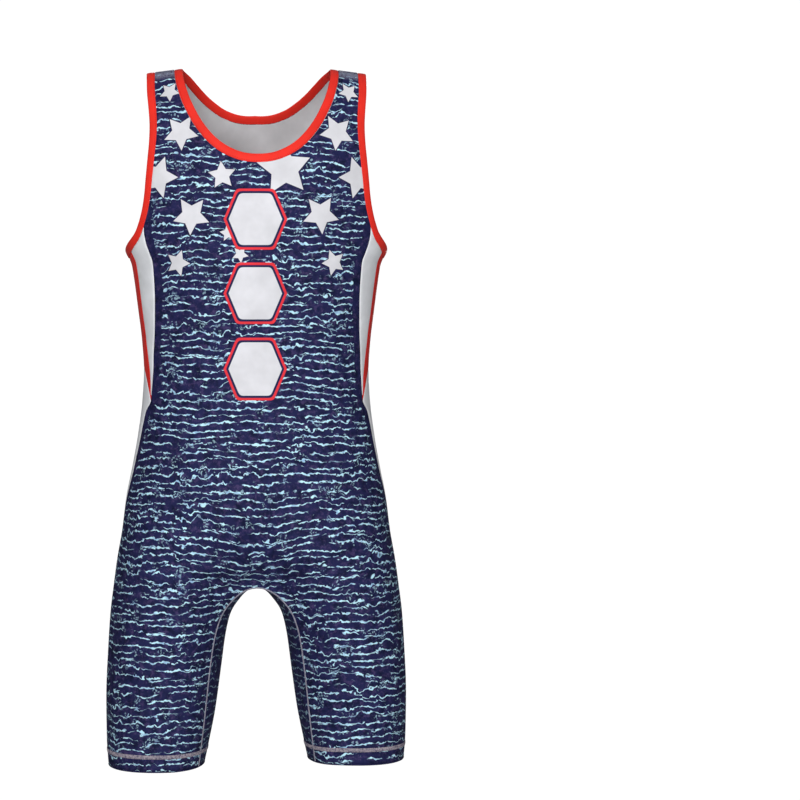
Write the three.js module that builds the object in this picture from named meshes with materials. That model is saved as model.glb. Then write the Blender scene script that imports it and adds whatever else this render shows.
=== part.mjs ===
// A sleeveless wrestling singlet with mid-thigh legs, in the hollow form that it has when worn.
// Millimetres, +Z up, the front faces -Y. The origin lies between the shoulders, at the height of
// the shoulder seams. Left and right are the wearer's, so the left side is at +X.
import * as THREE from "three";

// Driving dimensions
const crotchHeight = -626.5;
const hemHeight = -840;
const hemTurnUp = 18;
const bindingWidth = 10;
const seamGap = 0.3;
const clothHalf = 0.7;
const bindingHalf = 1.15;
const turnUpThickness = 1.2;

// The shoulders fall outwards from where they are level, and one leg hangs lower than the other
const shoulderSlope = 0.13;
const shoulderLevelX = 95;
const yokeHeight = -140;
const hemTilt = 4;
const legLevelX = 100;
const tiltAbove = 60;

// How the yoke rounds over to the shoulder seam: height of the round part and its squareness
const shoulderRound = { front: { height: 150, power: 1.8 }, back: { height: 130, power: 1.85 } };

// Roundness of the sections, as the share of the way to the corner that each handle reaches, and
// how many points make the curve from the side line to the lobe and on to the middle
const torsoRoundness = 0.6;
const lobeRoundness = 0.45;
const outerPoints = 48;
const innerPoints = 24;

// Columns of the grids: all of a body half, those of them outside the lobe, and the gusset's
const bodyColumns = 7;
const outerColumns = 4;
const gussetColumns = 4;
const armholeStationCount = 48;
const neckStationCount = { front: 12, back: 9 };

// Between these heights the columns move over from an even spacing to that of the legs
const evenAbove = 500;
const leggedBelow = 614;

const colours = { navy: 0x2d2855, white: 0xcdd0d4, red: 0xf23a2e };

// Reads a table with named columns into one smooth function for each column. The first column is
// the one read by, and the curve through the others never overshoots a row.
function tableOf(columns, rows, keyOf = (value) => value) {
  const keys = rows.map((row) => keyOf(row[0]));
  const rising = keys[keys.length - 1] > keys[0];
  const order = rising ? rows : [...rows].reverse();
  const at = order.map((row) => keyOf(row[0]));
  const table = {};
  columns.slice(1).forEach((name, index) => {
    const values = order.map((row) => row[index + 1]);
    const steps = values.slice(1).map((value, i) => (value - values[i]) / (at[i + 1] - at[i]));
    const slopes = values.map((_, i) => {
      if (i === 0) return steps[0];
      if (i === steps.length) return steps[i - 1];
      const before = steps[i - 1];
      const after = steps[i];
      return before * after <= 0 ? 0 : (2 * before * after) / (before + after);
    });
    table[name] = (input) => {
      const key = THREE.MathUtils.clamp(keyOf(input), at[0], at[at.length - 1]);
      let i = 0;
      while (i < at.length - 2 && key > at[i + 1]) i++;
      const span = at[i + 1] - at[i];
      const t = (key - at[i]) / span;
      const a = 2 * t ** 3 - 3 * t ** 2 + 1;
      const b = t ** 3 - 2 * t ** 2 + t;
      const c = 3 * t ** 2 - 2 * t ** 3;
      const d = t ** 3 - t ** 2;
      return a * values[i] + b * span * slopes[i] + c * values[i + 1] + d * span * slopes[i + 1];
    };
  });
  return table;
}

// Sections of torso and legs. The lobes are where the front and the back reach furthest out of the
// middle plane, and the centre values are the depths on the middle line.
const body = tableOf(
  ["z", "halfWidth", "frontY", "backY", "sideY", "frontLobe", "backLobe", "frontCentre", "backCentre"],
  [
    [0, 165, -95, 92, 0, 0, 0, -95, 92],
    [-100, 165, -96, 98, 2, 0, 0, -96, 98],
    [-160, 165, -102, 104, 4, 0, 0, -102, 104],
    [-200, 164, -105, 104, 5, 0, 0, -105, 104],
    [-214, 161.5, -105, 103, 5, 0, 0, -105, 103],
    [-225, 156.5, -105, 102, 5, 0, 0, -105, 102],
    [-236, 151.5, -104, 101, 5, 0, 0, -104, 101],
    [-251, 148.8, -103, 99, 4, 0, 0, -103, 99],
    [-290, 143.5, -99, 91, 3, 0, 0, -99, 91],
    [-330, 138.5, -95, 85, 1, 0, 0, -95, 85],
    [-366, 136.2, -92, 82, 0, 0, 0, -92, 82],
    [-400, 138, -92, 86, 2, 0, 0, -92, 86],
    [-440, 143, -94, 95, 5, 0, 12, -94, 95],
    [-480, 150, -97, 107, 8, 6, 32, -97, 105],
    [-520, 158, -99, 115, 10, 24, 52, -97, 110],
    [-560, 163, -99, 118, 10, 50, 68, -89, 106],
    [-595, 169, -97, 116, 9, 76, 84, -75, 92],
    [-626.5, 173.2, -94, 109, 7, 94, 96, -50, 62],
    [-660, 177.2, -91, 101, 6, 105, 106, -50, 62],
    [-700, 179.8, -86, 94, 5, 111, 111, -50, 62],
    [-760, 182.2, -78, 85, 4, 116, 115, -50, 62],
    [-810, 181.5, -71, 78, 4, 120, 119, -50, 62],
    [-840, 179.5, -68, 75, 4, 121.5, 121, -50, 62],
  ],
);

// The arch between the legs, by the drop below the crotch: the seams in front and behind, the
// narrowest gap between them, and how far the front has turned inwards at its seam, in degrees.
const arch = tableOf(
  ["drop", "frontX", "gapX", "backX", "frontY", "backY", "turn"],
  [
    [0, 0, 0, 0, -50, 62, 0],
    [2, 11, 7.5, 10, -50, 63, 10],
    [6, 19, 13, 17.5, -50.5, 63.5, 20],
    [14, 29, 20, 27, -51, 64, 33],
    [33, 43, 31.5, 41, -51, 64, 48],
    [60, 51.5, 38, 48.5, -49, 62, 57],
    [100, 57.5, 43.5, 54, -45, 58, 62],
    [150, 63, 50.5, 59.5, -40, 52, 65],
    [200, 69, 60.5, 66.5, -36, 47, 68],
    [214, 71, 63.5, 69, -35, 46, 68],
  ],
  Math.sqrt,
);
const archSag = { depth: 2.5, fade: 60 };

// Edges of the side panel, as distances round the body from the side line
const sidePanel = tableOf(
  ["z", "front", "back"],
  [
    [-130, 74, 57],
    [-195, 74.5, 54],
    [-213, 74.5, 53],
    [-232, 72.5, 53],
    [-258, 69, 54],
    [-282, 64.5, 54],
    [-306, 58, 53],
    [-330, 51, 52],
    [-354, 44.5, 51],
    [-381, 42, 50],
    [-403, 42, 47],
    [-416, 31.5, 37],
    [-434, 27, 35],
    [-468, 23.5, 37],
    [-503, 20, 36],
    [-525, 13, 28],
    [-540, 6.5, 16],
    [-553, 0, 0],
  ],
);
const wedge = tableOf(
  ["z", "front", "back"],
  [
    [-200, 35, 16],
    [-232, 34, 20],
    [-257, 32.5, 26],
    [-281, 31.3, 29],
    [-305, 30.3, 31],
    [-330, 29.8, 35],
    [-354, 31.4, 40],
    [-378, 36.5, 45],
    [-403, 42, 47],
  ],
);
// The arched end of the wedge: its highest point, how far it drops to its two tips, and its width
const wedgeArch = { top: -362, drop: 41, middle: -2.5, half: 44.5 };
const stripEnd = -396;
const leafEnd = -547;

// Edges of the openings in the front and the back view: the neck and the armholes
const neckEdge = {
  front: [
    [89.7, 0],
    [88.7, -12],
    [85.6, -26],
    [81.4, -40],
    [76.3, -52.5],
    [70.5, -64.5],
    [63.5, -76],
    [55, -87],
    [44.5, -97],
    [32, -105],
    [16.5, -110.8],
    [0, -112.5],
  ],
  back: [
    [89.7, 0],
    [80.5, -7],
    [71, -17],
    [61, -27.5],
    [50, -37],
    [36.5, -46],
    [19, -52.5],
    [0, -54.5],
  ],
};
const armholeEdge = tableOf(
  ["z", "front", "back"],
  [
    [0, 133.6, 133.6],
    [-28, 132.4, 129.5],
    [-53, 130, 122.8],
    [-72, 128.8, 118],
    [-92, 129.3, 115.2],
    [-113, 131, 114.6],
    [-137, 133.1, 116.6],
    [-156, 134.7, 120],
    [-174, 137.4, 126.5],
    [-190, 141.6, 135],
    [-203, 147.2, 145],
  ],
);
const underarmHeight = -220;

// Soft creases of the front, from the crotch outwards: two ends as x and z, width and depth
const creasesBelow = -480;
const creases = [
  [[16, -604], [74, -560], 11, 1.8],
  [[30, -622], [112, -588], 12, 2.0],
  [[6, -585], [34, -530], 10, 1.4],
];

const smooth = THREE.MathUtils.smoothstep;
const lerp = THREE.MathUtils.lerp;

// One half section at a height, as points from the side line to the middle or to the leg seam,
// with the distance travelled from the side line
const sectionCache = new Map();
function sectionAt(face, z) {
  const key = face + z.toFixed(4);
  if (sectionCache.has(key)) return sectionCache.get(key);
  const { height, power } = shoulderRound[face];
  const up = Math.max(0, 1 + Math.min(z, 0) / height);
  const rise = (1 - up ** power) ** (1 / power);
  const sign = face === "front" ? -1 : 1;
  const side = new THREE.Vector2(body.halfWidth(z), body.sideY(z) * rise);
  const lobe = new THREE.Vector2(body[face + "Lobe"](z), body[face + "Y"](z) * rise);
  const inner = new THREE.Vector2(0, body[face + "Centre"](z) * rise);
  const drop = crotchHeight - z;
  let turn = 0;
  if (drop > 0) {
    inner.set(arch[face + "X"](drop), arch[face + "Y"](drop));
    turn = THREE.MathUtils.degToRad(arch.turn(drop));
  }
  const reach = (lobe.x - inner.x) * lobeRoundness;
  const outer = new THREE.CubicBezierCurve(
    side,
    new THREE.Vector2(side.x, lerp(side.y, lobe.y, torsoRoundness)),
    new THREE.Vector2(lerp(lobe.x, side.x, torsoRoundness), lobe.y),
    lobe,
  );
  const inward = new THREE.CubicBezierCurve(
    lobe,
    new THREE.Vector2(lobe.x - reach, lobe.y),
    new THREE.Vector2(
      inner.x + lobe.distanceTo(inner) * lobeRoundness * Math.cos(turn),
      inner.y + sign * lobe.distanceTo(inner) * lobeRoundness * Math.sin(turn),
    ),
    inner,
  );
  const points = outer.getPoints(outerPoints);
  if (lobe.distanceTo(inner) > 0.01) points.push(...inward.getPoints(innerPoints).slice(1));
  const travelled = [0];
  for (let i = 1; i < points.length; i++) {
    travelled.push(travelled[i - 1] + points[i].distanceTo(points[i - 1]));
  }
  const length = travelled[travelled.length - 1];
  const section = { points, travelled, length, toLobe: travelled[outerPoints] };
  sectionCache.set(key, section);
  return section;
}

// The point at a distance round from the side line, in a section; past its ends it goes straight on
function alongSection(section, distance) {
  const { points, travelled } = section;
  let i = 0;
  while (i < points.length - 2 && distance > travelled[i + 1]) i++;
  const t = (distance - travelled[i]) / (travelled[i + 1] - travelled[i]);
  return points[i].clone().lerp(points[i + 1], t);
}

function distanceAtX(face, x, z) {
  const { points, travelled } = sectionAt(face, z);
  let i = 0;
  while (i < points.length - 2 && points[i + 1].x > x) i++;
  const t = (x - points[i].x) / (points[i + 1].x - points[i].x);
  return lerp(travelled[i], travelled[i + 1], THREE.MathUtils.clamp(t, 0, 1));
}

function creaseAt(x, z) {
  let sum = 0;
  for (const [[x0, z0], [x1, z1], width, depth] of creases) {
    const dx = x1 - x0;
    const dz = z1 - z0;
    const t = THREE.MathUtils.clamp(((x - x0) * dx + (z - z0) * dz) / (dx * dx + dz * dz), 0, 1);
    const away = Math.hypot(x - x0 - t * dx, z - z0 - t * dz);
    sum += depth * Math.sin(Math.PI * (0.15 + 0.7 * t)) * Math.exp(-((away / width) ** 2));
  }
  return sum;
}

// Where the columns of the body stand in a section: evenly on the torso, and on the legs some from
// the side line to the lobe and the others from there to the leg seam
function columnAt(section, z, column) {
  const even = (section.length * column) / bodyColumns;
  const past = column - outerColumns;
  const inside = section.length - section.toLobe;
  const onLeg =
    past <= 0
      ? (section.toLobe * column) / outerColumns
      : section.toLobe + (inside * past) / (bodyColumns - outerColumns);
  return lerp(even, onLeg, smooth(-z, evenAbove, leggedBelow));
}

// A place on the front or back: the middle of the cloth's thickness and the direction outwards
function clothAt(face, distance, z) {
  const sign = face === "front" ? 1 : -1;
  const at = (round, height) => {
    const p = alongSection(sectionAt(face, height), round);
    const pressed = face === "front" && height < creasesBelow ? creaseAt(p.x, height) : 0;
    return new THREE.Vector3(p.x, p.y + pressed, height);
  };
  const step = 0.6;
  const round = at(distance + step, z).sub(at(distance - step, z));
  const overShoulder = z > -step;
  const down = overShoulder
    ? new THREE.Vector3(0, -sign, 0)
    : at(distance, z - step).sub(at(distance, z + step));
  const normal = round.cross(down).multiplyScalar(sign).normalize();
  return { point: at(distance, z), normal };
}

function clothAtX(face, x, z) {
  return clothAt(face, distanceAtX(face, x, z), z);
}

// The nearest place on the cloth to a point that lies close to it
function clothNear(point) {
  const z = Math.min(point.z, 0);
  const face = point.y < body.sideY(z) ? "front" : "back";
  const section = sectionAt(face, z);
  let best = Infinity;
  let distance = 0;
  section.points.forEach((p, i) => {
    if (i === 0) return;
    const a = section.points[i - 1];
    const ab = p.clone().sub(a);
    const ap = new THREE.Vector2(point.x, point.y).sub(a);
    const t = THREE.MathUtils.clamp(ap.dot(ab) / Math.max(ab.lengthSq(), 1e-9), 0, 1);
    const away = ap.sub(ab.multiplyScalar(t)).length();
    if (away < best) {
      best = away;
      distance = lerp(section.travelled[i - 1], section.travelled[i], t);
    }
  });
  return { face, distance, z, ...clothAt(face, distance, z) };
}

// Every finished point goes through here: the shoulders slope and one leg hangs a little lower
function settle(point) {
  const nearShoulder = smooth(point.z, yokeHeight, 0);
  const legPart = smooth(-point.z, -crotchHeight - tiltAbove, -hemHeight);
  point.z += shoulderSlope * (shoulderLevelX - Math.abs(point.x)) * nearShoulder;
  point.z += hemTilt * THREE.MathUtils.clamp(point.x / legLevelX, -1, 1) * legPart;
  return point;
}

// A sheet is a list of places and triangles. A grid's rows run down and its columns round.
function newSheet() {
  return { places: [], index: new Map(), triangles: [] };
}

function placeIn(sheet, place) {
  const key = place.point.toArray().map((value) => Math.round(value * 1000)).join();
  if (!sheet.index.has(key)) {
    sheet.index.set(key, sheet.places.length);
    sheet.places.push({ point: place.point.clone(), normal: new THREE.Vector3() });
  }
  const at = sheet.index.get(key);
  sheet.places[at].normal.add(place.normal);
  return at;
}

function mirrored(place) {
  const flip = new THREE.Vector3(-1, 1, 1);
  return { point: place.point.clone().multiply(flip), normal: place.normal.clone().multiply(flip) };
}

function addGrid(sheet, rows, { turned = false, closed = false, mirror = false } = {}) {
  const numbers = rows.map((row) => row.map((place) => placeIn(sheet, mirror ? mirrored(place) : place)));
  const flipped = turned !== mirror;
  for (let r = 0; r + 1 < numbers.length; r++) {
    const count = numbers[r].length;
    for (let c = 0; c < (closed ? count : count - 1); c++) {
      const next = (c + 1) % count;
      const a = numbers[r][c];
      const b = numbers[r][next];
      const d = numbers[r + 1][c];
      const e = numbers[r + 1][next];
      for (const [i, j, k] of [[a, b, d], [b, e, d]]) {
        if (i === j || j === k || k === i) continue;
        sheet.triangles.push(flipped ? [i, k, j] : [i, j, k]);
      }
    }
  }
}

// Gives a sheet its thickness: the outer and inner skins and the walls round every free edge
function wallOf(sheet, outward, inward) {
  const count = sheet.places.length;
  const positions = [];
  for (const shift of [outward, -inward]) {
    for (const place of sheet.places) {
      const normal = place.normal.clone().normalize();
      positions.push(...settle(place.point.clone().addScaledVector(normal, shift)).toArray());
    }
  }
  const indices = [];
  const edges = new Map();
  for (const [a, b, c] of sheet.triangles) {
    indices.push(a, b, c, a + count, c + count, b + count);
    for (const [from, to] of [[a, b], [b, c], [c, a]]) {
      if (edges.has(to + "," + from)) edges.delete(to + "," + from);
      else edges.set(from + "," + to, [from, to]);
    }
  }
  for (const [from, to] of edges.values()) {
    indices.push(to, from, from + count, to, from + count, to + count);
  }
  const geometry = new THREE.BufferGeometry();
  geometry.setAttribute("position", new THREE.Float32BufferAttribute(positions, 3));
  geometry.setIndex(indices);
  return geometry;
}

const singlet = new THREE.Group();
function addPiece(name, sheet, colour, outward = clothHalf, inward = clothHalf) {
  const material = new THREE.MeshStandardMaterial({ color: colour, roughness: 0.62, metalness: 0 });
  const mesh = new THREE.Mesh(wallOf(sheet, outward, inward), material);
  mesh.name = name;
  singlet.add(mesh);
}

// Where the cloth lies flatter than this over the shoulder, an edge strip runs straight
const flatFrom = 0.3;
const flatFull = 0.6;

// An edge strip: from stations along an edge, the places at several distances in from it
function stripFrom(stations, distances) {
  return distances.map((distance) =>
    stations.map((station, i) => {
      const before = stations[Math.max(i - 1, 0)].point;
      const after = stations[Math.min(i + 1, stations.length - 1)].point;
      const tangent = station.tangent ?? after.clone().sub(before).normalize();
      const inward = tangent.clone().cross(station.normal).normalize();
      const straight = station.point.clone().addScaledVector(inward, distance);
      const onCloth = clothNear(straight);
      const steep = smooth(station.normal.z, flatFrom, flatFull);
      const point = onCloth.point.clone().lerp(straight, steep);
      const normal = onCloth.normal.clone().lerp(station.normal, steep).normalize();
      return { point, normal };
    }),
  );
}
const bindingColumns = [0, bindingWidth / 2, bindingWidth];
const seamColumn = [bindingWidth + seamGap];

// Neck: stations of one half, from the middle of the front over the shoulder to the middle of the back
function neckStations(face, count) {
  const edge = neckEdge[face].map(([x, z]) => new THREE.Vector2(x, z));
  const other = edge.slice(0, -1).reverse().map((p) => new THREE.Vector2(-p.x, p.y));
  const whole = new THREE.SplineCurve([...edge, ...other]);
  const points = whole.getSpacedPoints(2 * count).slice(0, count + 1);
  points[count].x = 0;
  return points.map((p) => clothAtX(face, p.x, Math.min(p.y, 0)));
}
const neckFront = neckStations("front", neckStationCount.front).reverse();
const neckBack = neckStations("back", neckStationCount.back);
const shoulderPlace = neckFront[neckFront.length - 1];
shoulderPlace.tangent = new THREE.Vector3(0, 1, 0);
shoulderPlace.normal.set(0, 0, 1);
neckFront[0].tangent = new THREE.Vector3(1, 0, 0);
neckBack[neckBack.length - 1].tangent = new THREE.Vector3(-1, 0, 0);
const neckHalf = [...neckFront, ...neckBack.slice(1)];

const neckBinding = newSheet();
for (const mirror of [false, true]) {
  addGrid(neckBinding, stripFrom(neckHalf, bindingColumns), { turned: true, mirror });
}
addPiece("neck_binding", neckBinding, colours.red, bindingHalf, bindingHalf);

// The line where the front or the back meets the neck binding, from the shoulder to the middle
const neckSeam = stripFrom(neckHalf, seamColumn)[0].map((place) => place.point);
const neckSeamOf = {
  front: neckSeam.slice(0, neckFront.length).reverse(),
  back: neckSeam.slice(neckFront.length - 1),
};

// Armhole: a closed loop of stations, down the front, under the arm and up the back
function armholeStations(count) {
  const heights = [0, -3, -10, -28, -53, -72, -92, -113, -137, -156, -174, -190, -203];
  const down = heights.map((z) => clothAtX("front", armholeEdge.front(z), z).point);
  const bottom = clothAt("front", 0, underarmHeight).point;
  const up = heights.slice(1).reverse().map((z) => clothAtX("back", armholeEdge.back(z), z).point);
  const loop = new THREE.CatmullRomCurve3([...down, bottom, ...up], true, "centripetal");
  return loop.getSpacedPoints(count).slice(0, count).map((point, i) => {
    const tangent = loop.getTangentAt(i / count);
    const near = clothNear(point);
    const top = i === 0;
    return {
      point: top ? point : near.point.lerp(point, smooth(near.normal.z, flatFrom, flatFull)),
      normal: top ? new THREE.Vector3(0, 0, 1) : near.normal,
      tangent,
    };
  });
}
const armhole = armholeStations(armholeStationCount);
const armholeRows = stripFrom(armhole, bindingColumns);
for (const mirror of [false, true]) {
  const binding = newSheet();
  addGrid(binding, armholeRows, { closed: true, turned: true, mirror });
  addPiece("armhole_binding_" + (mirror ? "right" : "left"), binding, colours.red, bindingHalf, bindingHalf);
}
const armholeSeam = stripFrom(armhole, seamColumn)[0].map((place) => place.point);
const underarmSeam = armholeSeam
  .filter((point) => point.z < yokeHeight)
  .map((point) => {
    const near = clothNear(point);
    return { round: near.face === "front" ? near.distance : -near.distance, z: point.z };
  })
  .sort((a, b) => a.round - b.round);

// Height of the underarm seam at a signed distance round from the side line
function underarmAt(round) {
  let i = 0;
  while (i < underarmSeam.length - 2 && round > underarmSeam[i + 1].round) i++;
  const a = underarmSeam[i];
  const b = underarmSeam[i + 1];
  return lerp(a.z, b.z, THREE.MathUtils.clamp((round - a.round) / (b.round - a.round), 0, 1));
}

// Distance from the side line to the armhole seam, at a height on the strap
const armholeSeamOf = {
  front: armholeSeam.slice(0, armholeSeam.length / 2 + 1),
  back: [armholeSeam[0], ...armholeSeam.slice(armholeSeam.length / 2).reverse()],
};
function armholeSeamAt(face, z) {
  const line = armholeSeamOf[face];
  let i = 0;
  while (i < line.length - 2 && line[i + 1].z > z) i++;
  const t = THREE.MathUtils.clamp((z - line[i].z) / (line[i + 1].z - line[i].z), 0, 1);
  return distanceAtX(face, lerp(line[i].x, line[i + 1].x, t), z);
}

// Heights of the rows that the body and the side panels share, from under the arm to the crotch,
// and the drops of the rows below it
const underarmRows = [-178, -190, -204, -217, -227, -235];
const sharedRows = [-244, -268, -294, -320, -346, -366, -386, -403, -416, -434];
sharedRows.push(-458, -484, -508, -528, -540, leafEnd, -553, -574, -598, -614);
const panelRows = [...underarmRows, ...sharedRows];
const drops = [0, 2, 6, 13, 23, 36, 54, 78, 106, 136, 168, 195, crotchHeight - hemHeight];

// An edge that runs straight from each shared row to the next, so that both sides of a seam match
function straightEdge(edge) {
  return (z) => {
    let i = 0;
    while (i < panelRows.length - 2 && z < panelRows[i + 1]) i++;
    const t = (z - panelRows[i]) / (panelRows[i + 1] - panelRows[i]);
    return Math.max(0, lerp(edge(panelRows[i]), edge(panelRows[i + 1]), t));
  };
}
const panelEdge = { front: straightEdge(sidePanel.front), back: straightEdge(sidePanel.back) };
const wedgeEdge = { front: straightEdge(wedge.front), back: straightEdge(wedge.back) };

// Height at which an edge of the side panel meets the armhole seam
function panelTop(face) {
  const sign = face === "front" ? 1 : -1;
  let z = underarmRows[0];
  while (underarmAt(sign * panelEdge[face](z)) < z) z -= 0.1;
  return z;
}

const leastRowStep = 3;

// The gusset's cloth: a drop down the arch, and a share of the way from front seam to back seam
function gussetAt(drop, across) {
  const point = (depth, s) => {
    const bulge = (arch.frontX(depth) + arch.backX(depth)) / 2 - arch.gapX(depth);
    const round = 4 * s * (1 - s);
    const sag = archSag.depth * (1 - smooth(depth, 0, archSag.fade));
    return new THREE.Vector3(
      lerp(arch.frontX(depth), arch.backX(depth), s) - bulge * round,
      lerp(arch.frontY(depth), arch.backY(depth), s),
      crotchHeight - depth - sag * round,
    );
  };
  const step = 0.01;
  const low = Math.max(drop, 0.05);
  const down = point(low + low * step, across).sub(point(low - low * step, across));
  const over = point(drop, across + step).sub(point(drop, across - step));
  const normal = drop === 0 ? new THREE.Vector3(0, 0, -1) : over.cross(down).normalize();
  return { point: point(drop, across), normal };
}

// Both sides of a leg seam lean the same way, half way between the body and the gusset
function legSeamNormal(face, drop) {
  const z = crotchHeight - drop;
  const outside = clothAt(face, sectionAt(face, z).length, z).normal;
  if (drop === 0) outside.x = 0;
  return outside.add(gussetAt(drop, face === "front" ? 0 : 1).normal).normalize();
}

// Half a seam gap across a leg seam, away from the gusset
function legSeamShift(face, drop) {
  if (drop === 0) return new THREE.Vector3(0, 0, seamGap / 2);
  const step = 0.01;
  const across = arch[face + "X"](drop + step) - arch[face + "X"](drop);
  return new THREE.Vector3(step, 0, across).setLength(seamGap / 2);
}

// The front or back, one half: each row runs from its outer edge to the middle or the leg seam
function bodyHalf(face, columns) {
  const seam = neckSeamOf[face];
  const top = panelTop(face);
  const neckLow = seam[seam.length - 1].z;
  const beside = armholeSeamOf[face].map((point) => point.z);
  const between = beside.filter((z) => z < neckLow - leastRowStep && z > top);
  const panel = panelRows.filter((z) => z < top - leastRowStep);
  const heights = [...seam.map((point) => point.z), ...between, top, ...panel];
  const rows = heights.map((height, i) => {
    const z = i === 0 ? 0 : height;
    const start = z > top ? armholeSeamAt(face, z) : panelEdge[face](z) + seamGap / 2;
    const section = sectionAt(face, z);
    const end = i < seam.length - 1 ? distanceAtX(face, seam[i].x, z) : section.length;
    const row = [];
    for (let c = 0; c <= columns; c++) {
      const share = columnAt(section, z, c) / section.length;
      const place = clothAt(face, lerp(start, end, share), z);
      if (i >= seam.length - 1 && c === columns) place.point.x = 0;
      if (i === 0) place.point.y += (face === "front" ? -seamGap : seamGap) / 2;
      row.push(place);
    }
    return row;
  });
  for (const drop of drops) {
    const z = crotchHeight - drop;
    const section = sectionAt(face, z);
    const row = [];
    for (let c = 0; c <= columns; c++) {
      row.push(clothAt(face, Math.max(columnAt(section, z, c), seamGap / 2), z));
    }
    row[columns].point.add(legSeamShift(face, drop));
    row[columns].normal.copy(legSeamNormal(face, drop));
    rows.push(row);
  }
  return rows;
}

for (const face of ["front", "back"]) {
  const sheet = newSheet();
  const rows = bodyHalf(face, bodyColumns);
  for (const mirror of [false, true]) addGrid(sheet, rows, { turned: face === "back", mirror });
  addPiece(face + "_body", sheet, colours.navy);
}

// The gusset, one half: rows run over the arch, and columns go from the front seam to the back seam
const gusset = newSheet();
const gussetRows = drops.map((drop) => {
  const row = [];
  for (let c = 0; c <= gussetColumns; c++) {
    row.push(gussetAt(drop, c / gussetColumns));
  }
  for (const [face, c] of [["front", 0], ["back", gussetColumns]]) {
    row[c].point.sub(legSeamShift(face, drop));
    row[c].normal.copy(legSeamNormal(face, drop));
  }
  return row;
});
for (const mirror of [false, true]) addGrid(gusset, gussetRows, { mirror });
addPiece("crotch_gusset", gusset, colours.navy);

// Pieces of the side panel. Each lies between two edges given as signed distances from the side
// line, plus in front and minus behind, and each column has its own top and bottom height.
function signedCloth(round, z) {
  return clothAt(round >= 0 ? "front" : "back", Math.abs(round), z);
}

function sideGrid({ from, to, columns, top, bottom, firstShared, lastShared }) {
  const roundAt = (c, z) => lerp(from(z), to(z), c / columns);
  const middle = panelRows.filter((z) => z <= firstShared && z >= lastShared);
  const rows = middle.map((z) => Array.from({ length: columns + 1 }, (_, c) => [roundAt(c, z), z]));
  const extend = (ends, nearest, steps) =>
    Array.from({ length: steps }, (_, i) =>
      ends.map(([round, z], c) => {
        const share = (i + 1) / steps;
        const height = lerp(nearest[c][1], z, share);
        const onEdge = c === 0 || c === columns;
        return [onEdge ? roundAt(c, height) : lerp(nearest[c][0], round, share), height];
      }),
    );
  const above = top ? extend(top(columns, roundAt), rows[0], 4).reverse() : [];
  const below = bottom ? extend(bottom(columns, roundAt), rows[rows.length - 1], 2) : [];
  return [...above, ...rows, ...below].map((row) => row.map(([round, z]) => signedCloth(round, z)));
}

// Ends of the columns on the underarm seam, one seam gap square to it
function underarmEnds(columns, roundAt) {
  const below = (round) => {
    const slope = (underarmAt(round + 1) - underarmAt(round - 1)) / 2;
    return underarmAt(round) - seamGap * Math.hypot(1, slope);
  };
  return Array.from({ length: columns + 1 }, (_, c) => {
    let z = panelRows[3];
    for (let i = 0; i < 60; i++) z = lerp(z, below(roundAt(c, z)), 0.3);
    return [roundAt(c, z), z];
  });
}

// Ends of a strip's columns at its narrow lower end
function stripTips(columns, roundAt) {
  return Array.from({ length: columns + 1 }, (_, c) => [roundAt(c, stripEnd), stripEnd]);
}

// Ends of the columns on the arch, moved up or down by half a seam gap across the seam
function archEnds(shift) {
  return (columns) =>
    Array.from({ length: columns + 1 }, (_, c) => {
      const share = (2 * c) / columns - 1;
      const slope = (2 * wedgeArch.drop * share) / wedgeArch.half;
      const round = wedgeArch.middle - share * (wedgeArch.half - seamGap / 2);
      return [round, wedgeArch.top - wedgeArch.drop * share ** 2 + shift * Math.hypot(1, slope)];
    });
}

const half = seamGap / 2;
const archColumns = 6;
const sidePieces = [
  {
    name: "side_front_strip",
    colour: colours.white,
    from: (z) => panelEdge.front(z) - half,
    to: (z) => wedgeEdge.front(z) + half,
    columns: 8,
    top: underarmEnds,
    bottom: stripTips,
    firstShared: -244,
    lastShared: -386,
  },
  {
    name: "side_wedge",
    colour: colours.red,
    from: (z) => wedgeEdge.front(z) - half,
    to: (z) => -wedgeEdge.back(z) + half,
    columns: archColumns,
    top: underarmEnds,
    bottom: archEnds(half),
    firstShared: -244,
    lastShared: -346,
  },
  {
    name: "side_back_strip",
    colour: colours.white,
    from: (z) => -wedgeEdge.back(z) - half,
    to: (z) => -panelEdge.back(z) + half,
    columns: 2,
    top: underarmEnds,
    bottom: stripTips,
    firstShared: -244,
    lastShared: -386,
  },
  {
    name: "hip_leaf",
    colour: colours.white,
    from: (z) => panelEdge.front(z) - half,
    to: (z) => -panelEdge.back(z) + half,
    columns: archColumns,
    top: archEnds(-half),
    firstShared: -416,
    lastShared: leafEnd,
  },
];
for (const mirror of [false, true]) {
  for (const piece of sidePieces) {
    const sheet = newSheet();
    addGrid(sheet, sideGrid(piece), { mirror, turned: true });
    addPiece(piece.name + (mirror ? "_right" : "_left"), sheet, piece.colour);
  }
}

// Turned-up hems: a closed ring inside each leg, one seam gap in from the cloth
function hemRing(z) {
  const ring = [];
  const front = sectionAt("front", z);
  const back = sectionAt("back", z);
  for (let c = 0; c < bodyColumns; c++) ring.push(clothAt("front", columnAt(front, z, c), z));
  for (let c = 0; c < gussetColumns; c++) ring.push(gussetAt(crotchHeight - z, c / gussetColumns));
  for (let c = bodyColumns; c > 0; c--) ring.push(clothAt("back", columnAt(back, z, c), z));
  return ring;
}
for (const mirror of [false, true]) {
  const sheet = newSheet();
  const heights = [hemHeight + hemTurnUp, hemHeight];
  addGrid(sheet, heights.map(hemRing), { closed: true, mirror });
  const inner = -(clothHalf + seamGap);
  addPiece("hem_turn_up_" + (mirror ? "right" : "left"), sheet, colours.navy, inner, turnUpThickness - inner);
}

export default singlet;
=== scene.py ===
import math

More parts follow.
